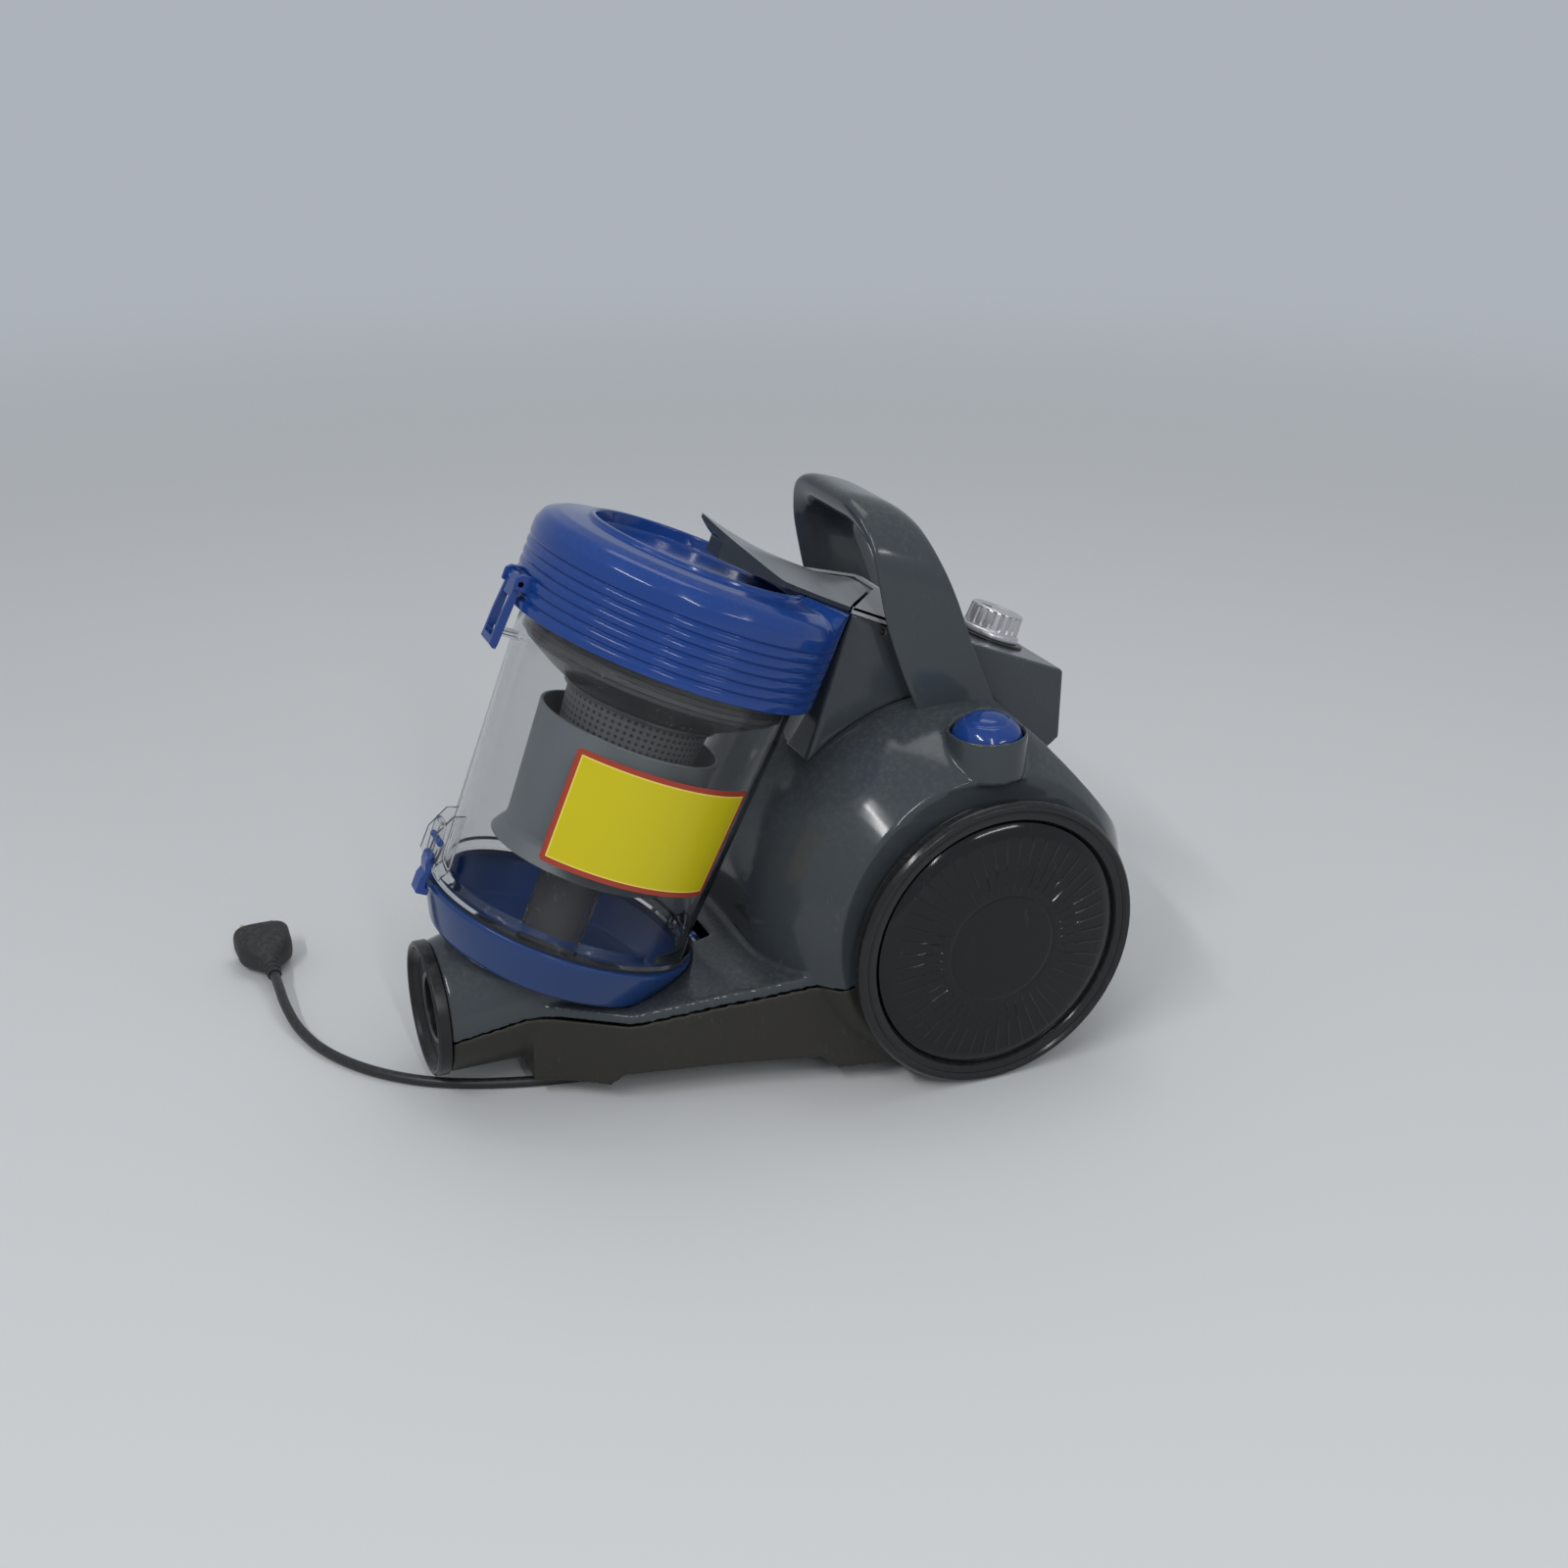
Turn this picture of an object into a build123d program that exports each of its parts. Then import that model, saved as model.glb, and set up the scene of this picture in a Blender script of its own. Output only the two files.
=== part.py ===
from build123d import *
import math
import os

# Canister vacuum cleaner with a clear dust cup.
# +Z is up, the hose socket faces -Y, the floor is Z = 0, X = 0 is the middle plane.

# ---------------------------------------------------------------- common values
wall = 2.5  # moulded casing wall
fit = 0.3  # gap between pieces that sit on each other
running = 0.05  # radial gap of a shaft in its hole
floor_clear = 12.0  # height of the chassis underside

# ---------------------------------------------------------------- wheels
wheel_r = 90.0
wheel_y = 93.0  # wheel axle, behind the middle
wheel_in = 113.0  # inner face of a wheel
tyre_depth = 12.7  # radial thickness of the tyre ring
hub_r = 12.0
axle_r = 6.0
axle_head_r = 8.6
axle_head_t = 2.5
dome = 5.0  # how far the wheel disc stands out at its centre

# ---------------------------------------------------------------- main casing
drum_y = 90.0
drum_z = 98.0
drum_r = 121.0
drum_flat = 40.0  # half width of the cylindrical middle of the drum
drum_half = 112.0  # half width of the drum
drum_end_r = 92.0
slope_angle = 40.7  # elevation of the normal of the drum's flat rear slope
slope_dist = 100.8  # distance of that flat from the drum axis
deck_t = 7.5  # height of the casing's edge above the seam
seam_back_z = 72.0  # height of the seam beside the drum
snout_y = -211.0  # front end of the casing
snout_r = 39.0
snout_z = 49.0
snout_back_y = -165.0
snout_back_r = 46.0
snout_back_z = 57.0
arch_front = -118.0
arch_back = -4.0
arch_h = 8.0

# ---------------------------------------------------------------- dust cup
cup_tilt = 23.5
cup_y = -131.7
cup_z = 99.9
cup_rim_r = 81.0
cup_low_r = 76.5
cup_top_r = 83.0
cup_rim_h = 5.0
cup_shoulder_h = 8.0
cup_h = 166.0  # bottom rim to lid edge
cup_neck = 6.0  # how far the wall reaches into the lid
cup_wall_t = 2.5
lid_r = 93.0
lid_h = 60.0  # lid edge to ring lip
lid_side_h = 42.0
lid_t = 3.0
lip_r = 65.0
lip_t = 3.0
recess_depth = 8.0
rib_pitch = 6.0
rib_count = 6
rib_depth = 1.2
rib_h = 2.2
door_r = 83.0
door_low_r = 70.0
door_h = 30.0
door_t = 2.6
door_rim_h = 4.5
seal_t = 2.0
seal_w = 3.0
cup_travel = 110.0

# ---------------------------------------------------------------- air path
hose_r = 17.5  # bore of the hose socket
tube_t = 3.0
elbow_r = 22.0
inlet_seal_t = 2.5
inlet_seal_w = 5.5
inlet_tube_t = 1.6
bell_low_h = 38.0
bell_high_h = 116.0
bell_low_r = 50.0
bell_high_r = 55.0
bell_flare = 6.0
bell_t = 2.0
spoke_gap = 2.5  # from the spokes under the mesh to the tube and to the bell's wall
spoke_count = 3
mesh_low_h = 62.0
mesh_drop = 33.0  # top of the mesh cone, below the lid's edge
mesh_low_r = 36.0
mesh_high_r = 44.0
mesh_t = 1.5
foam_t = 16.0
foam_r = 79.0
port_r = 18.0
port_rise = 31.0  # the lid's rear air port, above the lid's edge
port_seal_w = 5.0

# ---------------------------------------------------------------- spine, handle, controls
spine_half = 45.0
spine_front_y = 34.7
spine_top_z = 277.5
spine_back_y = 177.4
spine_back_z = 220.2
spine_low_z = 177.0
spine_foot_y = 1.6
spine_foot_z = 171.1
handle_out = 60.0
handle_in = 49.5
handle_corner_r = 38.0
handle_grip_t = 12.5
handle_slope = 17.6
handle_top_z = 343.0
knob_r = 17.5
knob_h = 17.0
knob_flutes = 20
knob_flute_r = 1.3
knob_place = 122.5  # along the spine's top from its front edge
dial_r = 23.0
dial_t = 1.6
shaft_r = 3.0
pedal_x = 95.0
pedal_y = 97.0
collar_z = 213.0
collar_out = 23.5
collar_wall = 2.0
collar_floor = 172.0
pedal_r = 20.8
pedal_dome = 10.0
pedal_travel = 5.0
stem_r = 4.0

# ---------------------------------------------------------------- motor, reel, filter
motor_y = 62.0
motor_z = 88.0
motor_r = 46.0
motor_x0 = -22.0
motor_x1 = 74.0
mount_w = 12.0
mount_t = 5.0
saddle_t = 5.0
rotor_r = 24.0
reel_y = 100.0
reel_z = 80.0
reel_r = 60.0
reel_hub_r = 33.0
reel_x0 = -88.0
reel_x1 = -45.0
flange_t = 2.5
reel_axle_r = 8.0
cord_r = 3.2
wound_length = 4000.0
winding_fill = 0.78
grille_half = 48.0
grille_t = 2.5
window_half = 38.0
window_low_z = 82.0
window_high_z = 134.0
filter_depth = 18.0

hinge_half = 12.0  # half width of the cup door's hinge
screw_r = 1.9
screw_head_r = 3.6
screw_boss_r = 5.0
screw_tower_r = 6.5
screw_seat = 8.0  # depth of a screw's seat under the seam
rear_web = 17.0
caster_y = -108.0
caster_r = 11.0
caster_w = 14.0
caster_trail = 7.0
caster_well_r = 20.0
caster_ceiling = 37.5
caster_stem_r = 4.0
caster_stem_top = 46.0
axle_in = 92.0
cord_out_x = -77.5
cord_out_z = 30.0
bush_r = 6.5
bush_y = 192.0
relief_l = 26.0
socket_rest_y = -192.0
nose_joint_y = -163.0  # where the nose shoe meets the tray
filter_y = 174.5
filter_lip = 4.0
grille_axis_y = 213.5
grille_axis_z = 77.5
grille_pin_r = 2.0

port_seal_t = 4.0  # depth of the rear port seal's seat
mouth_r = 40.5
mouth_collar_r = snout_z - floor_clear - wall - fit
lever_axis_back = 106.0  # lever hinge in the cup's directions
lever_axis_up = 221.5
lever_low = 226.4
lever_t = 3.0
lever_pin_r = 1.5
lever_swing_gap = 1.5  # room for the lever's rear edge as it swings
board_depth = 13.0
board_t = 1.6
board_w = 56.0
board_l = 62.0
board_shift = -12.0
board_posts = [(-24.0, 12.0), (24.0, 12.0), (-24.0, -36.0), (24.0, -36.0)]
bushing_r = 4.5
control_r = 9.0
knob_skirt = 4.0
shaft_up = 13.0
handle_back = [(130.0, 203.0), (123.8, 215.9), (109.3, 248.0), (100.0, 273.2), (86.2, 304.0)]
handle_front = [(49.3, 294.4), (53.5, 271.9), (66.1, 236.4), (79.1, 205.1), (84.0, 194.0)]
handle_tip_back = (73.2, 329.5)
handle_tip_front = (31.5, 345.0)
fan_x0 = 50.0
fan_r = 38.0
fan_w = 14.0
fan_blades = 9
spring_band = 14.0
bracket_t = 4.0
bracket_half = 38.0
bracket_foot = 18.0
brake_y = 80.0
brake_z = 150.0
brake_x0 = -97.0
brake_w = 11.5
brake_pin_r = 2.5
pad_r = 5.7
pad_angle = 35.0
stem_below = 1.5  # how far a pedal's stem stands out below its collar
switch_h = 22.0
louvre_low = 84.0
louvre_pitch = 7.0
louvre_count = 6
louvre_h = 3.2
louvre_half = 36.0
hub_end = 124.7
disc_edge_x = 128.5
wheel_rib_in = 40.0
wheel_rib_out = 74.0
wheel_rib_w = 0.8
wheel_rib_count = 48
tyre_face_x = 130.3
fork_r = 17.0
caster_pin_r = 2.0
pedal_skirt_z = 203.0
spring_wire = 0.7
spring_r = 8.5
spring_turns = 6

knuckle_in = 32.0  # lever knuckles, from the middle plane
knuckle_half = 5.7  # half width of the door's hinge knuckle
hinge_pin_r = 1.5
funnel_drop = 14.0  # top of the wall's funnel, below the lid's edge
lug_half = 5.5
lug_drop = 18.0  # the lid clip's lug, below the lid's edge
lug_t = 4.0
lug_reach = 98.0
door_latch_half = 6.0
door_latch_back = 88.0
door_latch_up = 24.0
toe_low = -9.6
lid_latch_half = 9.0
lid_latch_back = 97.5
lid_latch_rise = 14.0  # clip's pivot, above the lid's edge
lid_ear_half = 5.0
lid_ear_t = 3.0
rib_start = 5.0
fin_angle = math.radians(-12.0)
fin_w = 16.0
fin_h = 34.0
label_half = math.radians(41.0)
label_low = 46.0
label_high = 114.0
label_gap = 0.1
label_t = 0.4
plug_z = 12.5
plug_relief = 20.0
plug_l = 36.0

# ---------------------------------------------------------------- derived places
cup_plane = Plane(
    origin=(0, cup_y, cup_z),
    x_dir=(1, 0, 0),
    z_dir=(0, math.sin(math.radians(cup_tilt)), math.cos(math.radians(cup_tilt))),
)
# side plane of the cup: sketch x runs backward from the cup axis, sketch y up the axis
cup_side = Plane(origin=cup_plane.origin, x_dir=cup_plane.y_dir, z_dir=(1, 0, 0))
side = Plane.YZ  # sketch x = Y, sketch y = Z, normal +X
disc_r = wheel_r - tyre_depth - fit
cup_in_low = cup_low_r - cup_wall_t
cup_in_top = cup_top_r - cup_wall_t
lid_top_h = cup_h + lid_h
cup_funnel_h = cup_h - funnel_drop
seal_top_h = cup_h + cup_neck + seal_t
lug_low = cup_h - lug_drop
mesh_high_h = cup_h - mesh_drop
lid_latch_up = cup_h + lid_latch_rise
port_h = cup_h + port_rise
snout_mouth_y = snout_y - 8.0


# the seam runs along the snout and the deck, and steps over the wheel axles
seam_points = [
    (-240.0, 43.0),
    (-215.0, 43.0),
    (-168.0, 54.0),
    (-110.0, 53.0),
    (-45.0, 62.0),
    (10.0, seam_back_z),
    (wheel_y - 35, seam_back_z),
    (wheel_y - 29, wheel_r + 16),
    (wheel_y + 29, wheel_r + 16),
    (wheel_y + 35, seam_back_z),
    (240.0, seam_back_z),
]


def seam_z(y):
    """Height of the seam between lower chassis and upper housing at depth y."""
    for (y0, z0), (y1, z1) in zip(seam_points, seam_points[1:]):
        if y0 <= y <= y1:
            return z0 + (z1 - z0) * (y - y0) / (y1 - y0)
    return seam_points[-1][1]


def seam_line(rise):
    """Points of the seam in the side plane, lifted by rise."""
    return [(y, z + rise) for y, z in seam_points]


def cup_point(x, back, up):
    """A place given in the cup's own directions, as a point of the whole."""
    return cup_plane.from_local_coords(Vector(x, back, up))


def drum_profile(inset):
    """Half outline (x, r) of the drum, inset by a wall: ends of its line and its arc."""
    drop = drum_r - drum_end_r
    run = drum_half - drum_flat
    arc_r = (run * run + drop * drop) / (2 * drop)
    r_arc = arc_r - inset
    end_x = drum_half - inset
    end_r = drum_r - arc_r + math.sqrt(r_arc**2 - (end_x - drum_flat) ** 2)
    mid_x = (drum_flat + end_x) / 2
    mid_r = drum_r - arc_r + math.sqrt(r_arc**2 - (mid_x - drum_flat) ** 2)
    return (drum_flat, drum_r - inset), (mid_x, mid_r), (end_x, end_r)


drum_axis = Axis((0, drum_y, drum_z), (1, 0, 0))
drum_front = Plane(origin=(0, drum_y, drum_z), x_dir=(1, 0, 0), z_dir=(0, -1, 0))


def drum_solid(inset):
    """The drum: a barrel about a crosswise axis with a flat rear slope."""
    (fx, fr), (mx, mr), (ex, er) = drum_profile(inset)
    angle = math.radians(slope_angle)
    normal = (0, math.cos(angle), math.sin(angle))
    dist = slope_dist - inset
    cut = Plane(
        origin=(0, drum_y + dist * normal[1], drum_z + dist * normal[2]),
        x_dir=(1, 0, 0),
        z_dir=normal,
    )
    with BuildPart() as drum:
        with BuildSketch(drum_front):
            with BuildLine():
                Polyline((-fx, fr), (fx, fr))
                ThreePointArc((fx, fr), (mx, mr), (ex, er))
                Polyline((ex, er), (ex, 0), (-ex, 0), (-ex, er))
                ThreePointArc((-ex, er), (-mx, mr), (-fx, fr))
            make_face()
        revolve(axis=drum_axis)
        split(bisect_by=cut, keep=Keep.BOTTOM)
    return drum.part


def plan_outline(inset):
    """Half outline of the low casing seen from above, front to back."""
    return [
        (44.0 - inset, snout_back_y + inset),
        (50.0 - inset, -150.0),
        (73.0 - inset, -116.0),
        (84.0 - inset, -59.0),
        (98.0 - inset, -7.0),
        (106.0 - inset, 30.0),
        (106.0 - inset, drum_y),
    ]


def low_body(inset, low, lift):
    """The low casing between snout and drum, up to the deck (lift above the seam)."""
    half = plan_outline(inset)
    mirrored = [(-x, y) for x, y in reversed(half)]
    top = [(y, z) for y, z in seam_line(lift) if y > snout_back_y - 60]
    with BuildPart() as body:
        with BuildSketch(Plane.XY):
            with BuildLine():
                Polyline(*(half + mirrored), close=True)
            make_face()
        extrude(amount=120)
        with BuildSketch(side.offset(-drum_half)):
            with BuildLine():
                Polyline(*(top + [(top[-1][0], low), (top[0][0], low)]), close=True)
            make_face()
        extrude(amount=2 * drum_half, mode=Mode.INTERSECT)
    return body.part


def snout_solid(inset):
    """The round nose that carries the hose socket, widening backward."""
    with BuildPart() as nose:
        with BuildSketch(Plane(origin=(0, snout_y, snout_z), x_dir=(1, 0, 0), z_dir=(0, -1, 0))):
            Circle(snout_r - inset)
        back = Plane(origin=(0, snout_back_y, snout_back_z), x_dir=(1, 0, 0), z_dir=(0, -1, 0))
        with BuildSketch(back):
            Circle(snout_back_r - inset)
        loft()
        with BuildSketch(back):
            Circle(snout_back_r - inset)
        extrude(amount=-42)
    return nose.part


def casing_solid(inset):
    """Outer form of the whole casing, or its hollow when inset by the wall."""
    low = floor_clear + inset
    with BuildPart() as casing:
        add(drum_solid(inset))
        add(low_body(inset, low, deck_t - inset))
        add(snout_solid(inset))
        with BuildSketch(Plane.XY.offset(low)):
            Rectangle(3 * drum_half, 900)
        extrude(amount=400, mode=Mode.INTERSECT)
        with BuildSketch(side.offset(-2 * drum_half)):
            with BuildLine():
                Polyline(
                    (arch_front - inset - arch_h, low - 1),
                    (arch_front - inset, low + arch_h),
                    (arch_back + inset, low + arch_h),
                    (arch_back + inset + arch_h, low - 1),
                    close=True,
                )
            make_face()
        extrude(amount=4 * drum_half, mode=Mode.SUBTRACT)
    return casing.part


def cup_envelope(grow):
    """Space of the cup's bottom dish and wall, grown by a clearance."""
    low = -door_h - grow
    with BuildPart() as space:
        with BuildSketch(cup_side):
            with BuildLine():
                Polyline(
                    (0, low),
                    (door_low_r + grow, low),
                    (door_r + grow, -door_rim_h - grow),
                    (door_r + grow, cup_shoulder_h),
                    (cup_rim_r + grow, cup_shoulder_h + 3),
                    (cup_top_r + grow, cup_h),
                    (0, cup_h),
                    close=True,
                )
            make_face()
        revolve(axis=Axis(cup_plane.origin, cup_plane.z_dir))
    return space.part


def cup_path(grow):
    """The cup's space swept forward along the way it is taken out."""
    low = -door_h - grow
    front = Plane(origin=cup_plane.origin, x_dir=(1, 0, 0), z_dir=-cup_plane.y_dir)
    with BuildPart() as path:
        add(cup_envelope(grow))
        with BuildSketch(front):
            with BuildLine():
                Polyline(
                    (-door_low_r - grow, low),
                    (door_low_r + grow, low),
                    (door_r + grow, -door_rim_h - grow),
                    (door_r + grow, cup_h),
                    (-door_r - grow, cup_h),
                    (-door_r - grow, -door_rim_h - grow),
                    close=True,
                )
            make_face()
        extrude(amount=cup_travel + 60)
    return path.part


def below_seam(lift):
    """Everything under the seam line lifted by a gap."""
    with BuildPart() as region:
        with BuildSketch(side.offset(-2 * drum_half)):
            with BuildLine():
                Polyline(*(seam_line(lift) + [(240.0, -50.0), (-240.0, -50.0)]), close=True)
            make_face()
        extrude(amount=4 * drum_half)
    return region.part



def save(part, label):
    """Label a finished piece and write its STEP file."""
    part.label = label
    export_step(part, f"parts/{label}.step")


def ring(plane, r_out, r_in, low, high):
    """A plain ring about a plane's normal, between two heights."""
    with BuildPart() as piece:
        with BuildSketch(plane.offset(low)):
            Circle(r_out)
            Circle(r_in, mode=Mode.SUBTRACT)
        extrude(amount=high - low)
    return piece.part


def disc(plane, radius, low, high):
    """A plain disc about a plane's normal, between two heights."""
    with BuildPart() as piece:
        with BuildSketch(plane.offset(low)):
            Circle(radius)
        extrude(amount=high - low)
    return piece.part


def brick(x0, x1, y0, y1, z0, z1):
    """A box given by its corners."""
    with BuildPart() as piece:
        with BuildSketch(Plane.XY.offset(z0)):
            with Locations(((x0 + x1) / 2, (y0 + y1) / 2)):
                Rectangle(x1 - x0, y1 - y0)
        extrude(amount=z1 - z0)
    return piece.part


def common(first, second):
    """The space that two bodies share."""
    with BuildPart() as piece:
        add(first)
        add(second, mode=Mode.INTERSECT)
    return piece.part


def cup_brick(x0, x1, back0, back1, up0, up1):
    """A box in the cup's own directions."""
    with BuildPart() as piece:
        with BuildSketch(cup_plane.offset(up0)):
            with Locations(((x0 + x1) / 2, (back0 + back1) / 2)):
                Rectangle(x1 - x0, back1 - back0)
        extrude(amount=up1 - up0)
    return piece.part


def turned(points):
    """A body of revolution about the cup axis from (radius, height) points."""
    with BuildPart() as piece:
        with BuildSketch(cup_side):
            with BuildLine():
                Polyline(*points, close=True)
            make_face()
        revolve(axis=Axis(cup_plane.origin, cup_plane.z_dir))
    return piece.part


def cross_plane(x, y, z):
    """A plane across X, so that its normal is +X, about the point (x, y, z)."""
    return Plane(origin=(x, y, z), x_dir=(0, 1, 0), z_dir=(1, 0, 0))


def wheel_plane(sign):
    """Sketch plane of a wheel: sketch x runs outward from the middle plane, sketch y up."""
    return Plane(origin=(0, wheel_y, wheel_r), x_dir=(sign, 0, 0), z_dir=(0, -sign, 0))


def wheel_rib_plane(sign):
    """Plane just under the face of a wheel disc, from which its ribs are cut outward."""
    return Plane(
        origin=(sign * (disc_edge_x + dome * 0.45), wheel_y, wheel_r),
        x_dir=(0, 1, 0),
        z_dir=(sign, 0, 0),
    )


def spun(sign, points):
    """A body of revolution about the wheel axle from (distance out, radius) points."""
    with BuildPart() as piece:
        with BuildSketch(wheel_plane(sign)):
            with BuildLine():
                Polyline(*points, close=True)
            make_face()
        revolve(axis=Axis((0, wheel_y, wheel_r), (1, 0, 0)))
    return piece.part


def cross_spun(y, z, points):
    """A body of revolution about an X axis at (y, z) from (x, radius) points."""
    with BuildPart() as piece:
        with BuildSketch(Plane(origin=(0, y, z), x_dir=(1, 0, 0), z_dir=(0, -1, 0))):
            with BuildLine():
                Polyline(*points, close=True)
            make_face()
        revolve(axis=Axis((0, y, z), (1, 0, 0)))
    return piece.part


os.makedirs("parts", exist_ok=True)

# ---------------------------------------------------------------- places worked out from the sizes
cradle_gap = fit + 0.1
port_low_h = -door_h - cradle_gap - wall - fit  # end of the elbow, under the bowl
seal_out_r = hose_r + inlet_seal_w
flange_r = seal_out_r + 3.0  # flange at the end of the hose socket
wheel_top_z = 2 * wheel_r + 6.0
hinge_back = door_r + 4.3  # door hinge axis, behind the cup axis
hinge_up = -1.0
spine_slope = math.atan2(spine_top_z - spine_back_z, spine_back_y - spine_front_y)
top_plane = Plane(
    origin=(
        0,
        spine_front_y + knob_place * math.cos(spine_slope),
        spine_top_z - knob_place * math.sin(spine_slope),
    ),
    x_dir=(1, 0, 0),
    z_dir=(0, math.sin(spine_slope), math.cos(spine_slope)),
)
port_plane = Plane(
    origin=cup_point(0, 0, port_h), x_dir=(1, 0, 0), z_dir=cup_plane.y_dir
)
collar_bore = collar_out - collar_wall
front_screw = (60.0, -38.0)
rear_screw = (70.0, 186.0)
rear_boss_h = 18.0

# ---------------------------------------------------------------- casing
outer = casing_solid(0)
inner = casing_solid(wall)
dish_space = cup_envelope(cradle_gap)
bowl_form = cup_envelope(cradle_gap + wall)
bowl_clear = cup_envelope(cradle_gap + wall + fit)
swept_cup = cup_path(cradle_gap)
hinge_notch = cup_brick(
    -hinge_half - 3, hinge_half + 3, 0, hinge_back + 6, hinge_up - 8, hinge_up + 16
)

with BuildPart() as casing_shell:
    add(outer)
    add(inner, mode=Mode.SUBTRACT)

with BuildPart() as cradle:
    add(bowl_form)
    add(outer, mode=Mode.INTERSECT)
    add(dish_space, mode=Mode.SUBTRACT)

with BuildPart() as filter_well:
    add(
        brick(
            -window_half - wall,
            window_half + wall,
            filter_y - wall,
            drum_y + drum_r,
            window_low_z - wall,
            window_high_z + wall,
        )
    )
    add(outer, mode=Mode.INTERSECT)

# upper housing: drum, deck, cradle for the cup, top of the snout, pedal collars
with BuildPart() as upper_housing:
    add(casing_shell.part)
    for sign in (1, -1):
        with BuildSketch(Plane.XY.offset(collar_floor)):
            with Locations((sign * pedal_x, pedal_y)):
                Circle(collar_out)
        extrude(amount=collar_z - collar_floor)
        low_side = brick(
            min(sign * (drum_half - 0.5), sign * 200),
            max(sign * (drum_half - 0.5), sign * 200),
            0,
            2 * wheel_y,
            collar_floor - 1,
            wheel_top_z,
        )
        add(low_side, mode=Mode.SUBTRACT)
    add(filter_well.part)
    add(below_seam(fit), mode=Mode.SUBTRACT)
    add(cradle.part)
    add(swept_cup, mode=Mode.SUBTRACT)
    add(hinge_notch, mode=Mode.SUBTRACT)
    # air port in the cradle floor
    add(disc(cup_plane, seal_out_r + fit, port_low_h - 5, 0), mode=Mode.SUBTRACT)
    add(disc(cup_plane, flange_r + fit, port_low_h - 10, port_low_h + fit), mode=Mode.SUBTRACT)
    # opening under the spine for air and wires
    add(
        brick(-window_half, window_half, 40, 120, drum_z + 60, drum_z + drum_r + 10),
        mode=Mode.SUBTRACT,
    )
    # exhaust window at the rear, with a stop lip for the filter
    add(
        brick(
            -window_half,
            window_half,
            filter_y,
            drum_y + drum_r + 10,
            window_low_z,
            window_high_z,
        ),
        mode=Mode.SUBTRACT,
    )
    add(
        brick(
            -window_half + filter_lip,
            window_half - filter_lip,
            filter_y - 2 * wall,
            filter_y + 1,
            window_low_z + filter_lip,
            window_high_z - filter_lip,
        ),
        mode=Mode.SUBTRACT,
    )
    for sign in (1, -1):
        inside = brick(
            min(0, sign * (drum_half - wall - 0.5)),
            max(0, sign * (drum_half - wall - 0.5)),
            0,
            2 * wheel_y,
            collar_floor,
            wheel_top_z + wall,
        )
        place = Plane(origin=(sign * pedal_x, pedal_y, 0))
        low_bore = disc(place, collar_bore, collar_floor + wall, wheel_top_z + wall)
        add(common(low_bore, inside), mode=Mode.SUBTRACT)
        add(disc(place, collar_bore, wheel_top_z + wall - 0.01, collar_z + 1), mode=Mode.SUBTRACT)
        add(disc(place, stem_r + running, collar_floor - 1, collar_floor + 20), mode=Mode.SUBTRACT)
    # screw bosses that meet the lower chassis
    for sign in (1, -1):
        x, y = sign * front_screw[0], front_screw[1]
        boss = Plane(origin=(x, y, seam_z(y)))
        add(disc(boss, screw_boss_r, fit, deck_t - 0.5))
        add(disc(boss, screw_r + running, 0, deck_t - wall), mode=Mode.SUBTRACT)
        x, y = sign * rear_screw[0], rear_screw[1]
        boss = Plane(origin=(x, y, seam_z(y)))
        add(disc(boss, screw_boss_r, fit, rear_boss_h))
        web = brick(x - 2, x + 2, y, y + rear_web, seam_z(y) + fit, seam_z(y) + rear_boss_h)
        add(web)
        add(disc(boss, screw_r + running, 0, rear_boss_h - wall), mode=Mode.SUBTRACT)
    # ears of the rear cover's hinge
    for sign in (1, -1):
        ear = brick(
            min(sign * (grille_half + fit), sign * (grille_half + 5)),
            max(sign * (grille_half + fit), sign * (grille_half + 5)),
            grille_axis_y - 8,
            grille_axis_y + 4,
            grille_axis_z - 4,
            grille_axis_z + 4,
        )
        add(ear)
        add(
            disc(
                cross_plane(0, grille_axis_y, grille_axis_z),
                grille_pin_r + running,
                -grille_half - 10,
                grille_half + 10,
            ),
            mode=Mode.SUBTRACT,
        )
save(upper_housing.part, "upper_housing")
print("upper", upper_housing.part.volume, len(upper_housing.part.solids()))

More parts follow.
